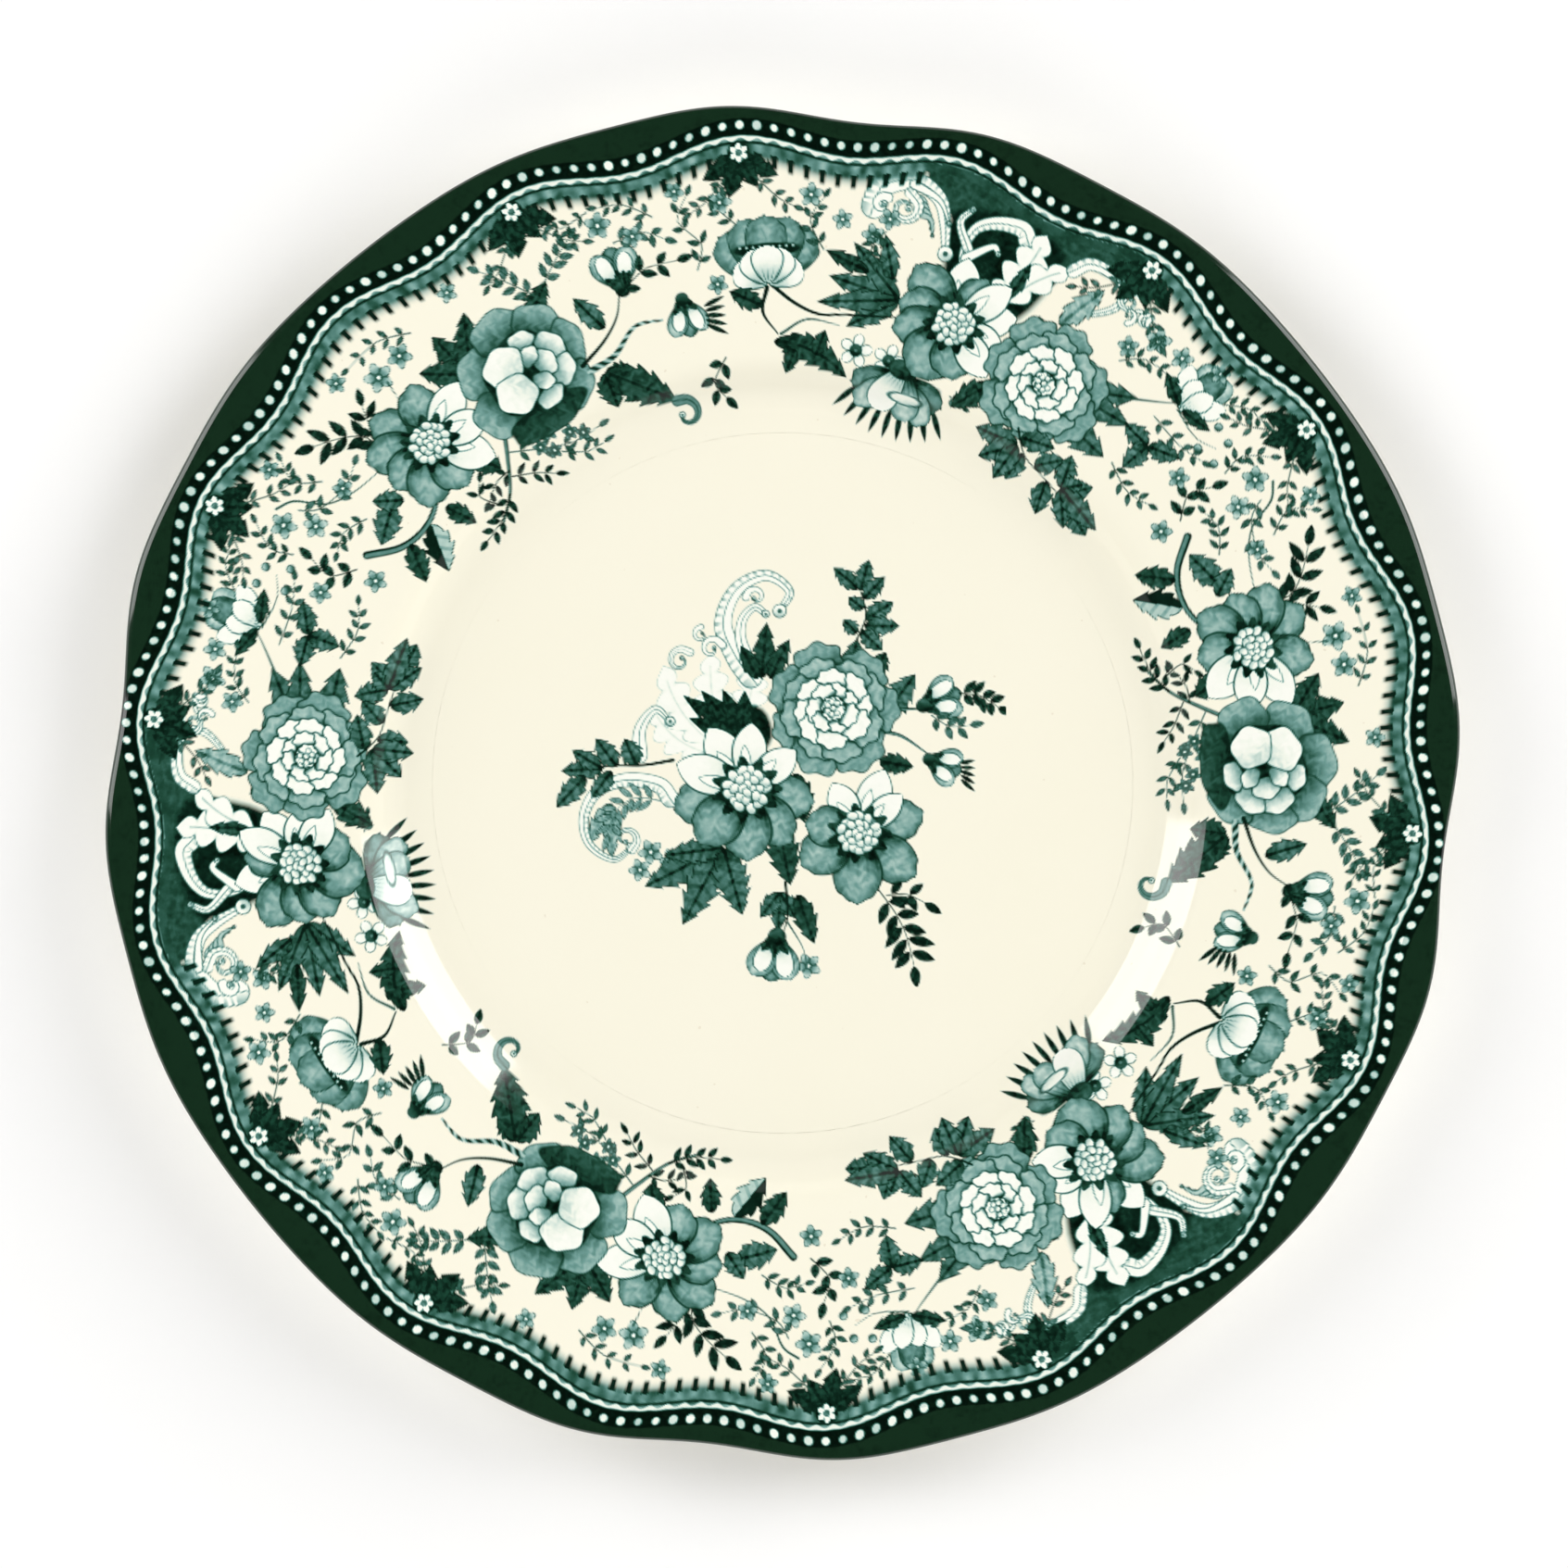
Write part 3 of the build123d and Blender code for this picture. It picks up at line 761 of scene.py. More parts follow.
def border_joins(p):
    """What lies across the panels' joins."""
    poppy(p, (91.7, 105.6), 92, 13.4, 21.5)
    stroke(p, [(91.8, 99.2), (92.4, 94.4), (90.6, 90)], 1.0, DARK)
    ivy(p, (92.4, 95.6), (96.2, 99), 4.0)
    vine(p, [(153.4, 95.4), (155.4, 99.6), (154.6, 104)], 3.2, 1.9, 4)
    for places, length in (([(99.4, 104), (98.6, 109), (100.6, 114), (99.4, 118.6)], 2.6),
                           ([(85.6, 107), (87.2, 112.6), (86, 117)], 2.5),
                           ([(94.8, 112), (96.6, 116), (95.8, 119.6)], 2.4),
                           ([(103, 116), (105.4, 119.6), (107.8, 120.6)], 2.4),
                           ([(147.6, 98.6), (150.2, 101), (152.4, 100.4)], 2.4),
                           ([(129.6, 116.6), (132.6, 119.6), (136.2, 119.8)], 2.3),
                           ([(155, 108), (155.4, 112.6), (153.8, 117)], 2.4),
                           ([(146.8, 110), (148.4, 114.6), (147.4, 118.6)], 2.4),
                           ([(51.4, 108), (49.4, 111.4), (46.4, 112.2)], 2.3),
                           ([(79.4, 112), (80.6, 108.2), (79, 104.8)], 2.2),
                           ([(40.6, 116), (38.8, 119.2), (36.6, 120)], 2.3),
                           ([(44.2, 92), (40.4, 90.4), (37.4, 92)], 2.4),
                           ([(109, 120.4), (111.8, 119.2), (113.4, 120.8)], 2.0)):
        sprig(p, places, length, 0.52 * length, 5, DEEP + 0.06, MID)
    florets(p, 0.40, 31, ((100.4, 120), 1.6), ((105.4, 113.2), 1.7), ((148.6, 120), 1.6),
            ((79.2, 114.6), 1.7), ((43, 119.6), 1.6), ((138.2, 119.6), 1.6), ((116.8, 119.8), 1.4),
            ((51.6, 111.2), 1.7), ((37.6, 100), 1.7), ((153.6, 91), 1.8), ((97.4, 100.6), 1.6),
            ((146.2, 105.8), 1.6))
    floret(p, (96.2, 116.6), 1.9, ink=0.36)
    floret(p, (87.2, 117.6), 1.9, ink=0.36, turn=18)
    vine(p, [(97.6, 86), (99.6, 81.6), (98.4, 78.6)], 3.0, 1.8, 4)


def in_ground(angle):
    """1 where the dark ground reaches the edge bands, 0 elsewhere."""
    along = (angle - FIRST_ANGLE) % PERIOD + FIRST_ANGLE
    return fade(along, 54.9, 55.7) * (1 - fade(along, 76.2, 77.0))


def edge_star(p, angle):
    """A white star on the pearl string, over a small cluster of dark leaves."""
    place = (angle, 126.0)
    for side, reach, width in ((3.6, 121.2, 4.0), (-3.6, 121.2, 4.0), (1.3, 117.2, 4.2), (-1.6, 119, 3.6)):
        leaf(p, (angle, 125.2), (angle + side, reach), width, DARK, DARK - 0.1, teeth=3)
    for side in (5.0, -5.0):
        fern(p, [(angle + 0.3 * side, 121), (angle + 0.7 * side, 117), (angle + side, 115.4)], 2.2, 1.2, 4)
    lobe(p, place, 4.4, 4.4, ink=DARK, light=DARK, line=0)
    for k in range(6):
        petal(p, place, 60 * k + 30, 2.0, 1.35, ink=WHITE, tip=WHITE, point=0.5, hatch=1, line=0.0)
    lobe(p, place, 1.3, 1.3, ink=DEEP, light=MID, line=0.1)


def edge_band(angle, radius):
    """Cover and ink of the bands that follow the wavy pearl string, from the dark lip inwards."""
    d = radius - pearl_radius(angle)
    s = angle * PEARLS / 360.0
    index = np.floor(s) % PEARLS
    across = (s - np.floor(s) - 0.5) * 2 * np.pi * PEARL_RADIUS / PEARLS
    beat = np.cos(2 * np.pi * s)
    draw = np.random.default_rng(11)
    size, glow = (draw.uniform(*span, PEARLS)[index.astype(int)] for span in ((0.74, 1.0), (-0.1, 0.2)))
    mottle = noise(radius * np.cos(np.radians(angle)), radius * np.sin(np.radians(angle)), 5.0, 21)

    ink = 0.58 + 0.09 * beat + 0.13 * mottle                       # the ribbed band
    ink = mix(ink, 0.92, soft(0.26 - np.abs(d + 3.45), 0.15))       # its dark line
    lace = d + 2.55 + 0.2 * beat
    ink = mix(ink, 0.02, soft(0.36 + 0.16 * beat - np.abs(lace)))
    ink = mix(ink, 1.0, soft(d + 2.0))
    pearl = 0.98 * size - np.hypot(across, d * 0.96)
    ink = mix(ink, np.maximum(glow, -0.1), soft(pearl, 0.16))
    ink = mix(ink, BAND_GREEN, soft(d - 1.25, 0.16))

    tick = soft(0.58 + 0.16 * fade(d, -8.4, -6.2) - np.abs(across), 0.2) * soft(d + 8.2, 0.4) * (d < -5.5)
    ground = in_ground(angle)
    cover = np.maximum(fade(d, -8.6, -5.8) ** 1.4, tick)
    ink = np.where(d < -5.7, mix(0.42, ink, fade(d, -7.0, -5.7)), ink)
    ink = mix(ink, 0.93, tick)
    ink = np.where(d < -3.9, mix(ink, 0.77 + 0.05 * mottle, ground), ink)
    cover = np.where(d < -5.6, cover * (1 - ground), cover)
    return cover, ink


# ==== the spray in the well =========================================================================
def well_spray(p):
    """The bunch in the well: a rose, two open flowers, scrolls on the left, sprigs all round."""
    for base, tip, width, bend in (((-15, 6), (-26.4, 15.6), 8, 0.12), ((-14, 8), (-24, 23.6), 9, 0.10),
                                   ((-12, 10), (-14.4, 26), 8.4, 0.06),
                                   ((-8, 12), (-6, 24.6), 7.4, -0.05)):
        acanthus(p, base, tip, width, lobes=4, shade=PALE, bend=bend, edge=0.36)
    patch(p, [(-17, 13), (-11, 15.6), (-4, 15), (-2, 9), (-6, 4.6), (-11, 5)], ink=DARK, mottle=0.05,
          edge=0.5)
    for tip in ((-20, 17.6), (-16.4, 18.6), (-18.8, 13), (-12, 18.8), (-7.6, 18.6)):
        leaf(p, (-8, 9), tip, 3.4, DARK, DARK - 0.1, teeth=3)
    volute(p, (-20.6, 24.6), (2.6, 40, 380), 1.2, rib=PALE)
    scroll(p, [(-6.4, 21.4), (-9.4, 25.4), (-12, 32), (-9.4, 38.8), (-3.4, 41.8), (1.4, 38.6),
               (-0.6, 34.6)], 3.2, comb=24)
    scroll(p, [(-6.6, 24), (-8.4, 29), (-8.0, 33), (-5.6, 35.4), (-3.4, 34)], 1.9, end=0.5)
    volute(p, (-5.4, 37.4), (2.0, 180, -330), 1.2, ribs=0)
    volute(p, (-14.3, 27), (2.3, 20, 360), 1.2, ribs=0)
    volute(p, (-16.4, 29.8), (1.6, 90, 330), 0.9, ribs=0)
    ivy(p, (-4.2, 21), (-3.2, 32.4), 4.2)
    ivy(p, (-5, 21), (-8.4, 27.6), 3.2, 3)
    ivy(p, (-2.6, 21), (1.4, 29), 3.6)
    stroke(p, [(12.4, 24), (15, 29), (16.8, 34), (15.4, 39.4)], 0.7, DARK)
    each(p, oak, ((15.4, 39), (10.2, 43.4), 3.4), ((15.6, 38.6), (17.4, 45), 3.6),
         ((16.2, 37), (20.6, 41.6), 3.4), ((16.4, 35), (13.2, 37.4), 3.0),
         ((16.6, 33), (22.4, 36.4), 3.8), ((16.4, 31.6), (23.6, 31.6), 3.8),
         ((15.8, 30.6), (20.2, 26.6), 3.6), ((15, 30), (12.2, 33), 3.0), ((13.6, 22), (15, 29), 4.0))
    leaf(p, (19.5, 12.4), (26.8, 22), 5.6, DARK, MID, teeth=5)
    ivy(p, (18, 21), (20.8, 26.4), 4.0)
    stroke(p, [(18.6, 12.4), (23.6, 14.6), (28.6, 15)], 1.1, DARK, core=MID)
    bud(p, (32.2, 17), 20, 8.0, 7.2, heart=DARK)
    vine(p, [(35.6, 18), (39.6, 17.6), (43.2, 15.4)], 3.2, 1.8, 5)
    fern(p, [(30, 13.6), (33.6, 11.4), (37.4, 11.6)], 2.8, 1.6, 4)
    stroke(p, [(19.6, 10.4), (24, 9.4), (29.6, 5.6)], 1.0, DARK, core=MID)
    bud(p, (32.8, 3.4), -22, 7.0, 6.4, heart=DARK)
    for lift in (-2, -1, 0, 1, 2):
        leaf(p, (35.8, 2.4 + 0.8 * lift), (38.8, 1.4 + 1.6 * lift), 1.0, DARK, DEEP)
    ivy(p, (19.4, 4.4), (26.4, 3.2), 4.0)
    for bottom in ((-39.4, -12.6), (-34.4, -15.4)):
        leaf(p, (-34.6, -4), bottom, 3.4, MID, PALE, teeth=4)
    scroll(p, [(-22.6, -3.2), (-25, -0.4), (-31.6, 0.6), (-37.4, -1.8), (-40, -7), (-38.8, -12.4),
               (-34, -15.4), (-30.4, -13)], 2.5, comb=34)
    volute(p, (-31.6, -11.2), (2.6, 300, 330), 1.3)
    sprig(p, [(-24.6, -3.6), (-29.6, -3), (-33.6, -5.6), (-35, -10)], 3.6, 1.4, 8, MID, PALE)
    scroll(p, [(-28.8, 5.6), (-28.6, 11), (-25.6, 14.8), (-22.6, 12.4)], 2.3)
    stroke(p, [(-22, 4.6), (-28, 3.6), (-36, 3.2), (-43, -0.6)], 0.8, DARK)
    each(p, oak, ((-36, 3), (-44.6, 2.4), 4.0), ((-39.6, 1.4), (-45.6, -5), 4.2),
         ((-33.4, 3.2), (-37.6, 9), 4.2), ((-29.4, 3.4), (-31.8, 9), 4.2),
         ((-34.4, 2.4), (-38.4, -3), 3.6), ((-36.4, 3), (-42.4, 6.6), 3.4))
    florets(p, 0.34, 22, ((-26.5, -13.9), 2.0), ((-28.7, -17.5), 1.8), ((-22.3, -15.6), 1.9),
            ((5.2, -36.8), 2.0))
    fan(p, oak, (-11.9, -13), ((-27.8, -20.9), 6.6), ((-20.2, -28.6), 6.4), ((-8.1, -26.6), 6.4),
        ((-24, -14.6), 4.6), teeth=6)
    for tip in ((-0.9, -30), (2.9, -27.4), (-4.6, -27.2)):
        leaf(p, (-0.6, -22), tip, 3.4, DARK, MID, teeth=3)
    ivy(p, (3, -22.4), (6.4, -32.4), 4.4)
    stroke(p, [(0.6, -20), (1, -27), (-0.6, -31.6)], 0.7, DARK)
    bud(p, (-1.8, -35.6), -98, 9.0, 9.2, heart=DEEP)
    stroke(p, [(1, -28), (4, -33), (5, -37)], 0.5, DEEP)
    sprig(p, [(18.6, -20.6), (22.6, -26), (25, -31), (26.4, -36.6)], 5.0, 2.2, 6, DARK, DARK - 0.08,
          spread=56, first=0.2)
    sprig(p, [(21, -22.6), (25, -22.4), (28.4, -24)], 4.0, 1.9, 3, DARK, DARK - 0.08, spread=50)
    ivy(p, (-1, -8), (1.6, -20.6), 6.0, 5)
    leaf(p, (2.4, 2), (4.4, -8), 5.4, DARK, DARK - 0.1, teeth=4)
    anemone(p, (15.4, -10.1), 4.2, ((18, 11.8, 9.8, "t"), (-38, 12.4, 10.6, "t"), (-92, 12.4, 11.6, "t"),
                                    (-152, 11.6, 11, "t"), (68, 11.6, 9.6, "w"), (118, 9.6, 8.6, "w"),
                                    (168, 9.6, 9.6, "t"), (42, 9.8, 7.6, "w")), seed=15)
    rose(p, (10.2, 15), 12.6, seed=6)
    anemone(p, (-7.2, -1.2), 4.6, ((196, 13.2, 11.6, "t"), (-12, 12.0, 10.4, "t"), (-52, 12.2, 10.6, "t"),
                                   (-90, 12.6, 11.8, "t"), (228, 12.6, 11.6, "t"), (122, 12.2, 10.2, "w"),
                                   (86, 11.2, 9.6, "w"), (38, 10.6, 9.2, "w"), (160, 12.6, 10.6, "w")),
            seed=23)


# ==== meshes ========================================================================================
STEP_BACK = 8                            # the hidden side of a skin has one point for this many
HUB = 1.0                                # the middle of a disc is closed by one small flat face
UNDER_GLAZE = GLAZE + 0.02               # how deep the clay's surface lies
ROOT_HEIGHT, ROOT_BEND = 4.2, 1.3        # where the underside bends into the foot's outer flank
FLANK_TOP = 2.9                          # where that bend ends
FOOT_ROUND = 0.35                        # how far in the foot's corners are rounded
BEND_ROWS = 7                            # rows of a bend at the foot


def link(name, data):
    thing = bpy.data.objects.new(name, data)
    bpy.context.scene.collection.objects.link(thing)
    return thing


def surface_piece(name, top, bottom, wrap, values=None, disc=False):
    """A closed skin from two grids of points (rows, columns, xyz). wrap joins the last column to the first.

    The shown side is smooth. The hidden one is coarser, and a wall closes each open edge. On a disc the
    last row is a small hub, and one flat face on each side closes it.
    """
    rows, cols = top.shape[:2]
    rows_kept = np.unique(np.append(np.arange(0, rows, STEP_BACK), rows - 1))
    cols_kept = np.arange(0, cols, STEP_BACK)
    if not wrap:
        cols_kept = np.unique(np.append(cols_kept, cols - 1))
    low = bottom[np.ix_(rows_kept, cols_kept)]
    count = rows * cols

    def top_at(i, j):
        return i * cols + j % cols

    def low_at(i, j):
        return count + i * len(cols_kept) + j % len(cols_kept)

    def quads(at, n_rows, n_cols, flip):
        spans = n_cols if wrap else n_cols - 1
        grids = np.meshgrid(np.arange(n_rows - 1), np.arange(spans), indexing="ij")
        i, j = (grid.ravel() for grid in grids)
        corners = [at(i, j), at(i + 1, j), at(i + 1, j + 1), at(i, j + 1)]
        return np.column_stack(corners[::-1] if flip else corners)

    walls = []

    def wall(top_of, low_of, marks, flip):
        """One face for each kept point along an edge, with all the shown side's points between."""
        for k, (a, b) in enumerate(zip(marks, marks[1:])):
            face = [low_of(k), *[top_of(m) for m in range(a, b + 1)], low_of(k + 1)]
            walls.append(face[::-1] if flip else face)

    shown = quads(top_at, rows, cols, False)
    hidden = quads(low_at, len(rows_kept), len(cols_kept), True)
    last, end = len(rows_kept) - 1, len(cols_kept) - 1
    along = [int(mark) for mark in cols_kept] + ([cols] if wrap else [])
    down = [int(mark) for mark in rows_kept]
    wall(lambda j: top_at(0, j), lambda k: low_at(0, k), along, False)
    if disc:
        walls.append([top_at(rows - 1, j) for j in range(cols - 1, -1, -1)])
        walls.append([low_at(last, k) for k in range(len(cols_kept))])
    else:
        wall(lambda j: top_at(rows - 1, j), lambda k: low_at(last, k), along, True)
    if not wrap:
        wall(lambda i: top_at(i, 0), lambda k: low_at(k, 0), down, True)
        wall(lambda i: top_at(i, cols - 1), lambda k: low_at(k, end), down, False)
    sizes = np.array([4] * (len(shown) + len(hidden)) + [len(face) for face in walls])
    corners = np.concatenate((shown.ravel(), hidden.ravel(), np.concatenate(walls))).astype(np.int32)
    points = np.vstack((top.reshape(-1, 3), low.reshape(-1, 3))) * MM

    mesh = bpy.data.meshes.new(name)
    mesh.vertices.add(len(points))
    mesh.vertices.foreach_set("co", points.ravel())
    mesh.loops.add(len(corners))
    mesh.loops.foreach_set("vertex_index", corners)
    mesh.polygons.add(len(sizes))
    mesh.polygons.foreach_set("loop_start", np.concatenate(([0], np.cumsum(sizes)[:-1])).astype(np.int32))
    mesh.update(calc_edges=True)
    smooth = np.zeros(len(sizes), bool)
    smooth[:len(shown)] = True
    mesh.polygons.foreach_set("use_smooth", smooth)
    for key, value in (values or {}).items():
        layer = mesh.attributes.new(key, "FLOAT", "POINT")
        both = np.concatenate((value.ravel(), value[np.ix_(rows_kept, cols_kept)].ravel()))
        layer.data.foreach_set("value", both.astype(np.float32))
    edge_of_corner = np.empty(len(corners), np.int32)
    mesh.loops.foreach_get("edge_index", edge_of_corner)
    sharp = np.zeros(len(mesh.edges), bool)
    sharp[edge_of_corner[4 * (len(shown) + len(hidden)):]] = True
    mesh.edges.foreach_set("use_edge_sharp", sharp)
    mesh.update()
    return link(name, mesh)


def ring_grid(radius, height, angle):
    """Points from radius and height (rows by columns) and the columns' angles."""
    c, s = direction(angle)
    return np.stack((radius * c, radius * s, np.broadcast_to(height, radius.shape)), axis=-1)


def offset_rows(radius, height, depth):
    """Rows of the same section, `depth` to the right of the way they run."""
    dr, dz = np.gradient(radius, axis=0), np.gradient(height, axis=0)
    length = np.hypot(dr, dz)
    return radius + depth * dz / length, height - depth * dr / length


def lip_arc(rim, centre_height, start, end, steps):
    """Rows round the lip from one angle of its section to another."""
    turn = np.radians(np.linspace(start, end, steps))[:, None]
    return rim - LIP_ROUND + LIP_ROUND * np.cos(turn), centre_height + LIP_ROUND * np.sin(turn)


def slope_at(radius, depth=0.0, taper=0.0):
    """Slope of the line `depth` inside the wall, in degrees."""
    step = 0.05
    rise = wall_height(radius + step, depth, taper) - wall_height(radius - step, depth, taper)
    return np.degrees(np.arctan2(rise, 2 * step))


def lip_section(angle):
    """The lip's rim radius, and the heights of its upper and lower rounding's centres."""
    rim = rim_radius(angle)
    upper, lower = slope_at(rim), slope_at(rim, WALL, RIM_TAPER)
    touch = rim - LIP_ROUND - LIP_ROUND * np.sin(np.radians(upper))
    above = wall_height(touch) - LIP_ROUND * np.cos(np.radians(upper))
    beneath = rim - LIP_ROUND + LIP_ROUND * np.sin(np.radians(lower))
    below = wall_height(beneath, WALL, RIM_TAPER) + LIP_ROUND * np.cos(np.radians(lower))
    return rim, upper, lower, touch, above, beneath, below


def spread(start, end, steps):
    """Rows evenly from start to end, which may differ from column to column."""
    t = np.linspace(0, 1, steps)[:, None]
    return start + (end - start) * t


def border_rows(angle):
    radius = spread(np.full(angle.size, BORDER_RADIUS), np.full(angle.size, BAND_RADIUS), 210)
    return radius, wall_height(radius)


def band_rows(angle):
    rim, upper, _, touch, above, _, below = lip_section(angle)
    flat = spread(np.full(angle.size, BAND_RADIUS), touch, 28)
    arc = lip_arc(rim, above, 90 + upper.mean(), 0, 11)
    wall = np.stack((rim, rim)), np.stack((above * 0.75 + below * 0.25, (above + below) / 2))
    return (np.vstack((flat[:-1], arc[0], wall[0])),
            np.vstack((wall_height(flat[:-1]), arc[1], wall[1])))


def bezier(a, b, c, steps):
    t = np.linspace(0, 1, steps)[:, None]
    return [a[k] * (1 - t) ** 2 + 2 * b[k] * t * (1 - t) + c[k] * t ** 2 for k in (0, 1)]


def foot_radius(side, height):
    """Radius of the foot's flank at a height: side is 1 outside, -1 inside."""
    return FOOT_RADIUS + side * (FOOT_FLAT / 2 + FOOT_FLANK * height / FOOT_ROOT)


def under_rows(beneath, steps, one):
    """In along the underside from the lip to the foot, and round the bend into its outer flank."""
    root = foot_radius(1, ROOT_HEIGHT)
    flat = spread(beneath, (root + ROOT_BEND) * one, steps)
    start = flat[-1], wall_height(flat[-1], WALL, RIM_TAPER)
    flank = foot_radius(1, FLANK_TOP) * one, FLANK_TOP * one
    turn = bezier(start, ((root - 0.05) * one, ROOT_HEIGHT * one), flank, BEND_ROWS)
    return (np.vstack((flat[1:-1], turn[0])),
            np.vstack((wall_height(flat[1:-1], WALL, RIM_TAPER), turn[1])))


def back_rows(angle):
    """From the middle of the lip's wall, down round it, in along the underside and down the foot."""
    rim, _, lower, _, above, beneath, below = lip_section(angle)
    one = np.ones(angle.size)
    wall = np.stack((rim, rim)), np.stack(((above + below) / 2, below * 0.75 + above * 0.25))
    arc = lip_arc(rim, below, 0, lower.mean() - 90, 9)
    under = under_rows(beneath, 80, one)
    heights = np.linspace(FLANK_TOP, BARE_FOOT, 4)[1:]
    return (np.vstack((wall[0], arc[0], under[0], np.outer(foot_radius(1, heights), one))),
            np.vstack((wall[1], arc[1], under[1], np.outer(heights, one))))


def recess_rows(angle):
    """From the bare foot up its inner flank, and in under the well to the hub."""
    one = np.ones(angle.size)
    low, high = 1.5, WELL_HEIGHT - WALL
    foot = foot_radius(-1, low) * one, low * one
    turn = bezier(foot, (foot_radius(-1, high) * one, high * one), (WELL_RADIUS * one, high * one),
                  BEND_ROWS)
    flat = spread(WELL_RADIUS * one, HUB * one, 60)[1:]
    heights = np.linspace(BARE_FOOT, low, 3)[:-1]
    return (np.vstack((np.outer(foot_radius(-1, heights), one), turn[0], flat)),
            np.vstack((np.outer(heights, one), turn[1], np.full_like(flat, high))))


def skin(name, rows, angle, wrap=True, values=None, disc=False):
    radius, height = rows
    inner = offset_rows(radius, height, GLAZE)
    return surface_piece(name, ring_grid(radius, height, angle), ring_grid(*inner, angle), wrap, values,
                         disc)


def border_print(angle, rows):
    """Ink and cover of the border over one period, from its own canvas."""
    grid = ring_grid(rows[0], rows[1], angle)
    p = Print(grid[..., 0], grid[..., 1], polar=True, turns=(0.0, PERIOD, -PERIOD))
    border_panel_b(p)
    border_panel_a(p)
    border_joins(p)
    return lay_edge(p, angle, rows[0])


def lay_edge(p, angle, radius):
    """The edge bands over what is printed so far, and the stars over them."""
    cover, ink = edge_band(np.broadcast_to(angle, radius.shape).ravel(), radius.ravel())
    p.ink = np.where(p.cover > 0, mix(p.ink, ink, cover), ink)
    p.cover = np.maximum(p.cover, cover)
    for star in STAR_ANGLES:
        edge_star(p, star)
    return {"ink": p.ink.reshape(p.shape), "cover": p.cover.reshape(p.shape)}


def make_border():
    """The six transfers. One period is printed once and turned to its other places."""
    columns = 400
    angle = FIRST_ANGLE + np.linspace(0, PERIOD, 2 * columns + 1)
    values = border_print(angle, border_rows(angle))
    pieces = []
    for turn in range(3):
        for k, panel in enumerate("ab"):
            part = slice(k * columns, (k + 1) * columns + 1)
            here = angle[part] + turn * PERIOD
            pieces.append(skin(f"border_transfer_{panel}_{turn + 1}", border_rows(here), here, wrap=False,
                               values={key: value[:, part] for key, value in values.items()}))
            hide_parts(f"border_panel_{panel}_{turn + 1}")
    return pieces


def make_edge():
    """The dark band with its share of the pearls, over the lip to the middle of its wall."""
    angle = np.linspace(0, 360, 2400, endpoint=False)
    rows = band_rows(angle)
    grid = ring_grid(*rows, angle)
    p = Print(grid[..., 0], grid[..., 1], polar=True, turns=(0.0, PERIOD, 2 * PERIOD))
    piece = skin("edge_band_glazed", rows, angle, values=lay_edge(p, angle, rows[0]))
    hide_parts("edge_band")
    return piece


def make_spray():
    low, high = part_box("centre_spray")
    x, y = np.meshgrid(np.linspace(low.x, high.x, 313) / MM, np.linspace(low.y, high.y, 293) / MM)
    p = Print(x, y, polar=False)
    well_spray(p)
    top = np.stack((x, y, np.full_like(x, WELL_HEIGHT)), axis=-1)
    # Rows run along +Y here, so the columns are turned round to keep the face upward.
    values = {"ink": p.ink.reshape(x.shape)[:, ::-1], "cover": p.cover.reshape(x.shape)[:, ::-1]}
    piece = surface_piece("spray_transfer", top[:, ::-1], top[:, ::-1] - (0, 0, GLAZE), False, values)
    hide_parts("centre_spray")
    return piece


def make_front_glaze():
    """The clear glaze between the spray's rectangle and the border's inner circle."""
    low, high = (np.array(corner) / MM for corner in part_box("centre_spray"))
    t = np.linspace(0, 1, 240, endpoint=False)
    corners = [(high[0], low[1]), (high[0], high[1]), (low[0], high[1]), (low[0], low[1])]
    sides = [np.outer(1 - t, a) + np.outer(t, b) for a, b in zip(corners, corners[1:] + corners[:1])]
    inner = np.vstack(sides)
    around = np.arctan2(inner[:, 1], inner[:, 0])
    outer = BORDER_RADIUS * np.column_stack((np.cos(around), np.sin(around)))
    t = np.linspace(0, 1, 25)[:, None, None]
    flat = inner[None] * (1 - t) + outer[None] * t
    top = np.concatenate((flat, np.full(flat.shape[:2] + (1,), WELL_HEIGHT)), axis=2)
    piece = surface_piece("well_glaze", top, top - (0, 0, GLAZE), True)
    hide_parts("front_glaze")
    return piece


def make_underside():
    """The glaze outside the foot, with the band's green on its lip, and the glaze inside the foot."""
    angle = np.linspace(0, 360, 960, endpoint=False)
    rows = back_rows(angle)
    x, y = rows[0] * direction(angle)[0], rows[0] * direction(angle)[1]
    wander = 0.35 * noise(x, y, 14.0, 41) + 0.12 * noise(x, y, 3.0, 43)
    edge = rim_radius(angle)[None] - rows[0] - 0.75 - wander
    upper = rows[1] > rows[1].max(0) - 5.0
    dark = soft(-edge, 0.2) * upper
    values = {"ink": np.full(dark.shape, BAND_GREEN), "cover": dark}
    back = skin("underside_glaze", rows, angle, values=values)
    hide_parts("back_glaze")
    angle = np.linspace(0, 360, 480, endpoint=False)
    recess = skin("recess_glaze_inner", recess_rows(angle), angle, disc=True)
    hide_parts("recess_glaze")
    return [back, recess]


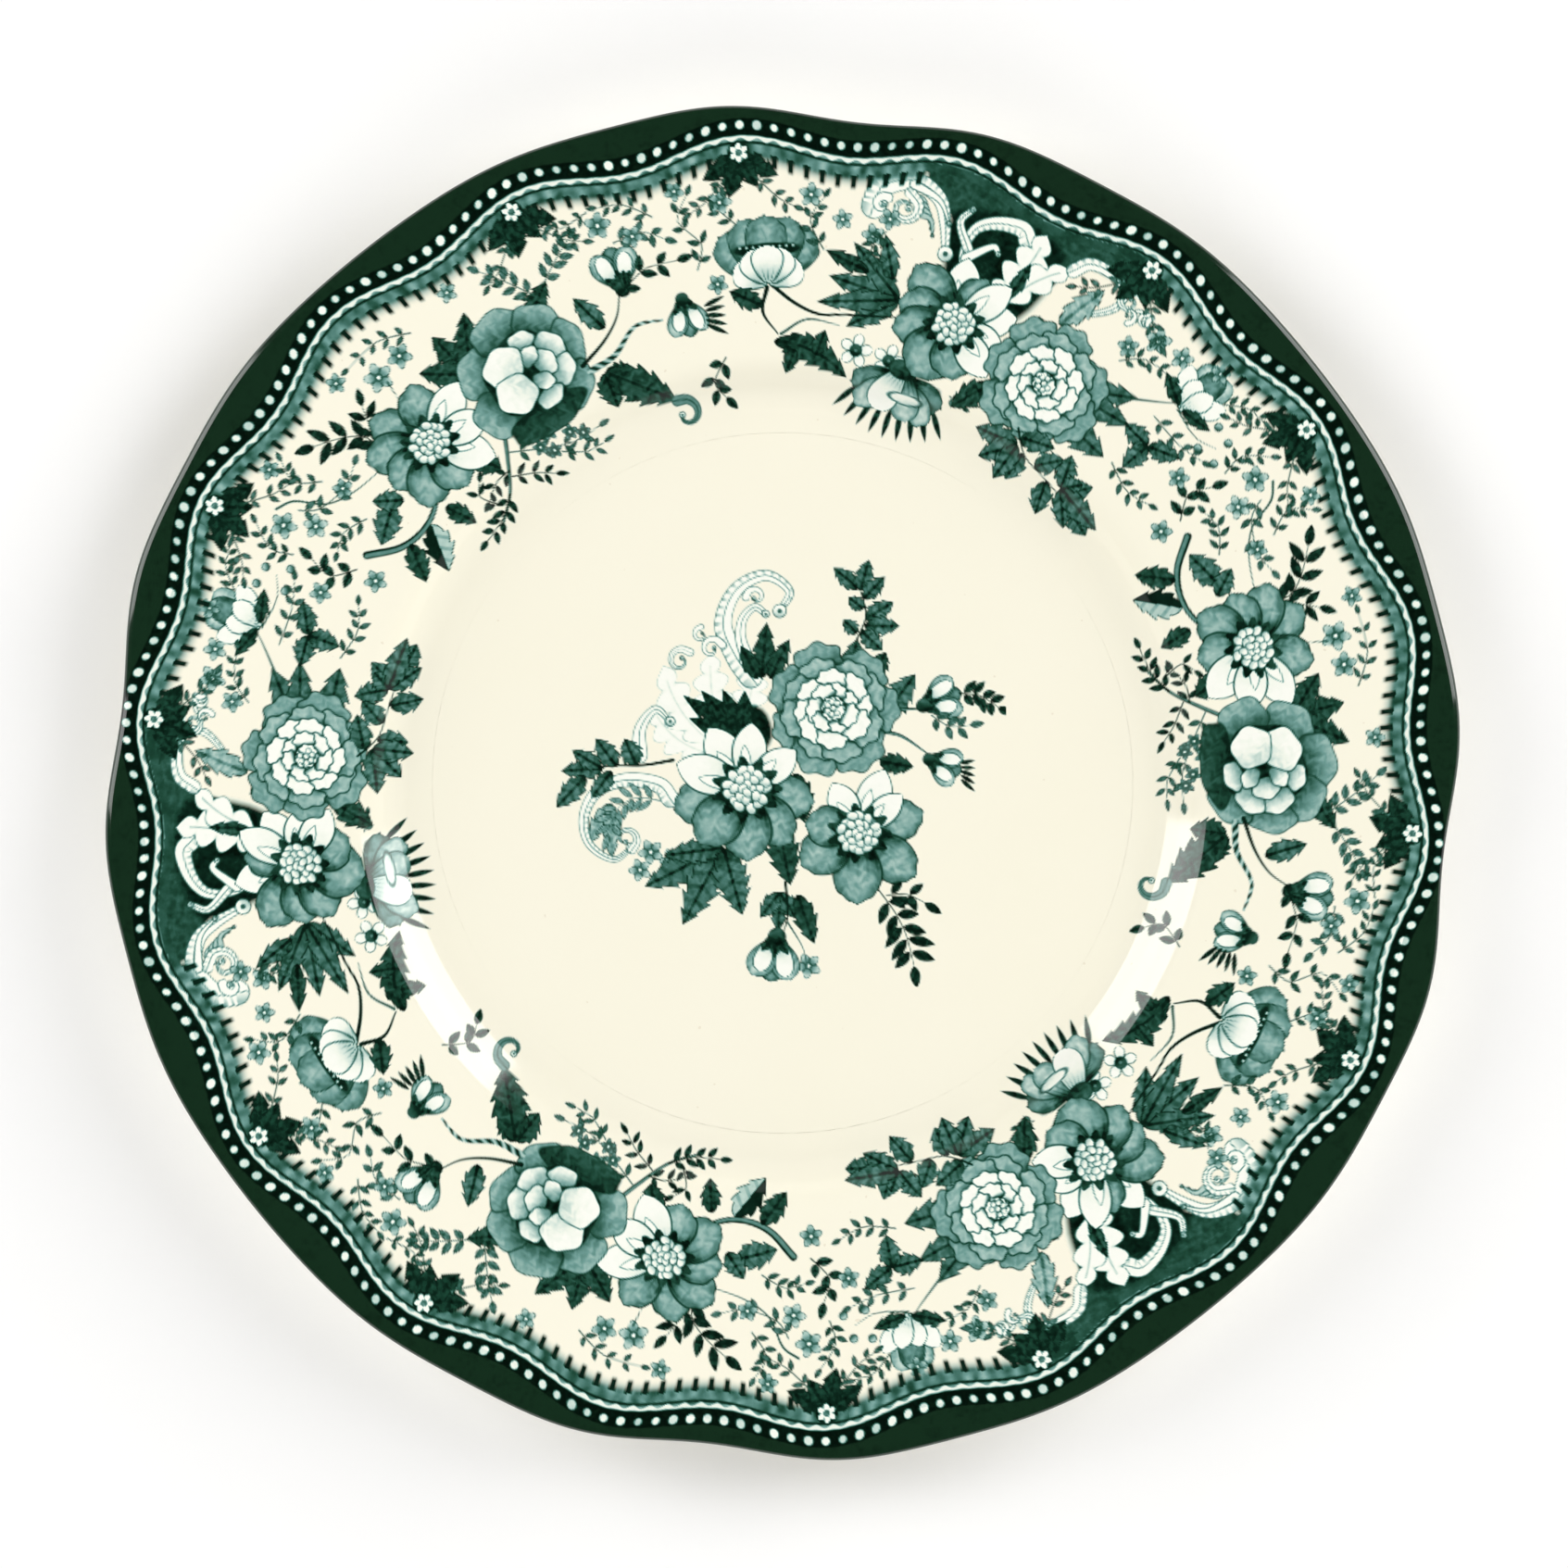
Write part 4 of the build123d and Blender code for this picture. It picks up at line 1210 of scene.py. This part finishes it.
def make_clay():
    """The fired clay under the glaze. Only the ring it stands on is seen."""
    angle = np.linspace(0, 360, 480, endpoint=False)
    one = np.ones(angle.size)
    rim, upper, lower, touch, above, beneath, below = lip_section(angle)
    face = spread(HUB * one, touch, 100)
    lip_top = lip_arc(rim, above, 90 + upper.mean(), 0, 8)
    lip_low = lip_arc(rim, below, 0, lower.mean() - 90, 8)
    under = under_rows(beneath, 40, one)
    bare = foot_radius(1, BARE_FOOT) * one
    first = offset_rows(np.vstack((face, lip_top[0][1:], lip_low[0], under[0], bare)),
                        np.vstack((wall_height(face), lip_top[1][1:], lip_low[1], under[1],
                                   BARE_FOOT * one)), UNDER_GLAZE)
    outer, inner = foot_radius(1, 0), foot_radius(-1, 0)
    ring = ((foot_radius(1, BARE_FOOT), BARE_FOOT), (foot_radius(1, 0.3), 0.3), (outer, 0.08),
            (outer - FOOT_ROUND, 0.0), (inner + FOOT_ROUND, 0.0), (inner, 0.08),
            (foot_radius(-1, 0.3), 0.3), (foot_radius(-1, BARE_FOOT), BARE_FOOT))
    high, reach = WELL_HEIGHT - WALL, WELL_RADIUS - 1.0
    hollow = bezier((foot_radius(-1, BARE_FOOT) * one, BARE_FOOT * one),
                    (foot_radius(-1, high) * one, high * one), (reach * one, high * one), BEND_ROWS)
    floor = spread(reach * one, HUB * one, 16)[1:]
    second = offset_rows(np.vstack((hollow[0], floor)), np.vstack((hollow[1], np.full_like(floor, high))),
                         UNDER_GLAZE)
    radius, height = (np.vstack((first[k], np.outer([point[k] for point in ring], one), second[k]))
                      for k in (0, 1))
    rows, cols = radius.shape
    i, j = (grid.ravel() for grid in np.meshgrid(np.arange(rows - 1), np.arange(cols), indexing="ij"))
    k = (j + 1) % cols
    faces = np.column_stack((i * cols + j, (i + 1) * cols + j, (i + 1) * cols + k, i * cols + k))
    caps = [list(range(cols)), list(range((rows - 1) * cols, rows * cols))[::-1]]
    mesh = bpy.data.meshes.new("fired_clay")
    points = ring_grid(radius, height, angle).reshape(-1, 3) * MM
    mesh.from_pydata(points.tolist(), [], faces.tolist() + caps)
    mesh.polygons.foreach_set("use_smooth", np.ones(len(mesh.polygons), bool))
    mesh.validate()
    piece = link("fired_clay", mesh)
    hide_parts("clay_body")
    return piece


# ==== materials =====================================================================================
INK_LOW, INK_HIGH = WHITE, BAND_GREEN
INK_RAMP = ((WHITE, (248, 249, 240)), (0.02, (238, 243, 231)), (0.14, (207, 224, 214)),
            (0.30, (158, 190, 182)), (0.44, (110, 155, 148)), (0.58, (74, 120, 110)),
            (0.70, (44, 89, 75)), (0.80, (25, 66, 50)), (0.90, (8, 38, 26)), (1.0, (0, 12, 5)),
            (BAND_GREEN, (18, 44, 27)))
CREAM, CREAM_CLOUD, IRON_SPECK = (248, 244, 226), (246, 242, 222), (196, 176, 140)
CLAY, CLAY_WORN = (226, 216, 196), (204, 190, 166)
GLAZE_IOR = 1.55


def linear(colour):
    """A colour from 0 to 255, as screens show it, in linear light."""
    c = np.array(colour) / 255
    return tuple(np.where(c <= 0.04045, c / 12.92, ((c + 0.055) / 1.055) ** 2.4)) + (1.0,)


class Nodes:
    """Short names for building the nodes of a material or a world."""

    def __init__(self, home):
        self.home = home
        home.use_nodes = True
        self.tree = home.node_tree
        self.tree.nodes.clear()

    def add(self, kind, inputs=None, **settings):
        node = self.tree.nodes.new(kind)
        for key, value in settings.items():
            setattr(node, key, value)
        for key, value in (inputs or {}).items():
            if isinstance(value, bpy.types.NodeSocket):
                self.tree.links.new(value, node.inputs[key])
            else:
                node.inputs[key].default_value = value
        return node

    def surface(self, kind, inputs):
        self.add("ShaderNodeOutputMaterial", {"Surface": self.add(kind, inputs).outputs[0]})

    def bump(self, strength, distance, height):
        node = self.add("ShaderNodeBump", {"Strength": strength, "Distance": distance, "Height": height})
        return node.outputs[0]

    def math(self, operation, *values, clamp=False):
        node = self.add("ShaderNodeMath", dict(enumerate(values)), operation=operation, use_clamp=clamp)
        return node.outputs[0]

    def noise(self, scale, detail, where):
        inputs = {"Scale": scale, "Detail": detail, "Vector": where}
        return self.add("ShaderNodeTexNoise", inputs).outputs["Fac"]

    def mix(self, fac, a, b):
        return self.add("ShaderNodeMix", {0: fac, 6: a, 7: b}, data_type="RGBA").outputs[2]


def scaled(n, value, centre, amount):
    """`centre` plus or minus `amount`, from a noise that runs from 0 to 1."""
    return n.math("MULTIPLY_ADD", value, 2 * amount, centre - amount)


def glazed(name, printed=False):
    """White china under clear glaze, with the engraved print where the mesh carries one."""
    n = Nodes(bpy.data.materials.new(name))
    where = n.add("ShaderNodeNewGeometry").outputs["Position"]
    cloud, grain = n.noise(28.0, 3.0, where), n.noise(900.0, 2.0, where)
    body = n.mix(cloud, linear(CREAM), linear(CREAM_CLOUD))
    speck = n.math("GREATER_THAN", n.noise(620.0, 1.0, where), 0.80)
    body = n.mix(n.math("MULTIPLY", speck, 0.22), body, linear(IRON_SPECK))
    bump_height = n.noise(70.0, 2.0, where)
    rough = scaled(n, n.noise(120.0, 3.0, where), 0.07, 0.03)
    colour = body
    if printed:
        ink = n.add("ShaderNodeAttribute", attribute_name="ink").outputs["Fac"]
        cover = n.add("ShaderNodeAttribute", attribute_name="cover").outputs["Fac"]
        worn = n.math("ADD", ink, scaled(n, grain, 0.0, 0.07))
        worn = n.math("ADD", worn, scaled(n, n.noise(220.0, 3.0, where), 0.0, 0.06))
        fac = n.math("DIVIDE", n.math("SUBTRACT", worn, INK_LOW), INK_HIGH - INK_LOW, clamp=True)
        ramp = n.add("ShaderNodeValToRGB", {"Fac": fac})
        stops = ramp.color_ramp.elements
        while len(stops) < len(INK_RAMP):
            stops.new(0.5)
        for stop, (level, tone) in zip(stops, INK_RAMP):
            stop.position, stop.color = (level - INK_LOW) / (INK_HIGH - INK_LOW), linear(tone)
        colour = n.mix(cover, body, ramp.outputs["Color"])
        bump_height = n.math("MULTIPLY_ADD", n.math("MULTIPLY", cover, ink), 0.05, bump_height)
        rough = n.math("MULTIPLY_ADD", cover, 0.02, rough)
    n.surface("ShaderNodeBsdfPrincipled", {"Base Color": colour, "Roughness": rough, "IOR": GLAZE_IOR,
                                           "Normal": n.bump(0.08, 0.0004, bump_height)})
    return n.home


def bare_clay():
    """Unglazed clay, rough and faintly stained."""
    n = Nodes(bpy.data.materials.new("bare_clay"))
    where = n.add("ShaderNodeNewGeometry").outputs["Position"]
    worn = n.noise(300.0, 4.0, where)
    grain = n.noise(2400.0, 2.0, where)
    colour = n.mix(worn, linear(CLAY), linear(CLAY_WORN))
    n.surface("ShaderNodeBsdfPrincipled", {"Base Color": colour, "Roughness": scaled(n, grain, 0.7, 0.12),
                                           "Normal": n.bump(0.35, 0.0002, grain)})
    return n.home


# ==== the studio ====================================================================================
CAMERA_PLACE, CAMERA_LENS, SENSOR = (0.00028, -0.0002, 1.5), 170.4, 36.0
BOXES = ((27.0, 0.86, 1.0), (157.5, 0.74, 0.98))      # direction, width in metres, strength
BOX_DISTANCE, BOX_HEIGHT, BOX_FOOT = 1.2, 1.88, 0.03
BOX_RADIANCE = 4.6
FRONT_FILL = (272.0, 1.5, 0.46)          # one more box, on the near side, that the glaze doesn't mirror
FILL_SIZE, FILL_HEIGHT, FILL_RADIANCE = 3.2, 2.2, 0.36   # soft overhead light, not mirrored either
FLOOR_RADIUS, FLOOR_SIDES = 1.15, 128    # the floor ends just short of the lights
HORIZON, OVERHEAD = (0.03, 0.80), (0.22, 0.03)        # height on the sky, brightness


def add_camera():
    data = bpy.data.cameras.new("camera")
    data.lens, data.sensor_width = CAMERA_LENS, SENSOR
    data.clip_start, data.clip_end = 0.05, 30.0
    camera = link("camera", data)
    camera.location = CAMERA_PLACE
    bpy.context.scene.camera = camera


def add_lamp(name, width, height, radiance, mirrored):
    data = bpy.data.lights.new(name, "AREA")
    data.shape, data.size, data.size_y = "RECTANGLE", width, height
    data.energy = np.pi * radiance * width * height
    lamp = link(name, data)
    lamp.visible_glossy = mirrored
    return lamp


def add_softbox(index, azimuth, width, strength, mirrored=True):
    """A tall soft light that stands on the floor and faces the plate."""
    lamp = add_lamp(f"softbox_{index}", width, BOX_HEIGHT, BOX_RADIANCE * strength, mirrored)
    lamp.data.color = (1.0, 0.995, 0.985)
    c, s = direction(azimuth)
    lamp.location = (BOX_DISTANCE * c, BOX_DISTANCE * s, BOX_FOOT + BOX_HEIGHT / 2)
    lamp.rotation_euler = (np.pi / 2, 0.0, np.radians(azimuth + 90))


def add_lights():
    add_lamp("overhead_fill", FILL_SIZE, FILL_SIZE, FILL_RADIANCE, False).location = (0, 0, FILL_HEIGHT)
    for index, box in enumerate(BOXES):
        add_softbox(index + 1, *box)
    add_softbox(len(BOXES) + 1, *FRONT_FILL, mirrored=False)


def add_world():
    """Dim overhead, so that dark ink stays dark, and pale at the horizon."""
    world = bpy.data.worlds.new("studio")
    n = Nodes(world)
    sky = n.add("ShaderNodeSeparateXYZ", {0: n.add("ShaderNodeTexCoord").outputs["Generated"]})
    ramp = n.add("ShaderNodeValToRGB", {0: sky.outputs["Z"]})
    for stop, (height, level) in zip(ramp.color_ramp.elements, (HORIZON, OVERHEAD)):
        stop.position, stop.color = height, (level, level, level, 1)
    back = n.add("ShaderNodeBackground", {0: ramp.outputs[0]})
    n.add("ShaderNodeOutputWorld", {0: back.outputs[0]})
    bpy.context.scene.world = world


def add_floor():
    mesh = bpy.data.meshes.new("floor")
    c, s = direction(np.linspace(0, 360, FLOOR_SIDES, endpoint=False))
    rim = np.column_stack((FLOOR_RADIUS * c, FLOOR_RADIUS * s, 0 * c))
    mesh.from_pydata(rim.tolist(), [], [tuple(range(FLOOR_SIDES))])
    floor = link("floor", mesh)
    floor.location.z = -0.00002
    n = Nodes(bpy.data.materials.new("floor_white"))
    where = n.add("ShaderNodeNewGeometry").outputs["Position"]
    colour = n.mix(n.noise(3.0, 2.0, where), (0.97, 0.97, 0.97, 1), (0.955, 0.955, 0.955, 1))
    n.surface("ShaderNodeBsdfDiffuse", {"Color": colour})
    mesh.materials.append(n.home)


def dress(piece, material):
    piece.data.materials.append(material)
    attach(piece, "root")


add_camera()
add_world()
add_floor()
add_lights()

clear = glazed("clear_glaze")
print_glaze, band_glaze = glazed("printed_glaze", True), glazed("band_glaze", True)
for transfer in make_border():
    dress(transfer, print_glaze)
dress(make_spray(), print_glaze)
dress(make_edge(), band_glaze)
dress(make_front_glaze(), clear)
back, recess = make_underside()
dress(back, band_glaze)
dress(recess, clear)
dress(make_clay(), bare_clay())

bpy.context.scene.view_settings.view_transform = "Standard"
bpy.context.scene.view_settings.look = "None"
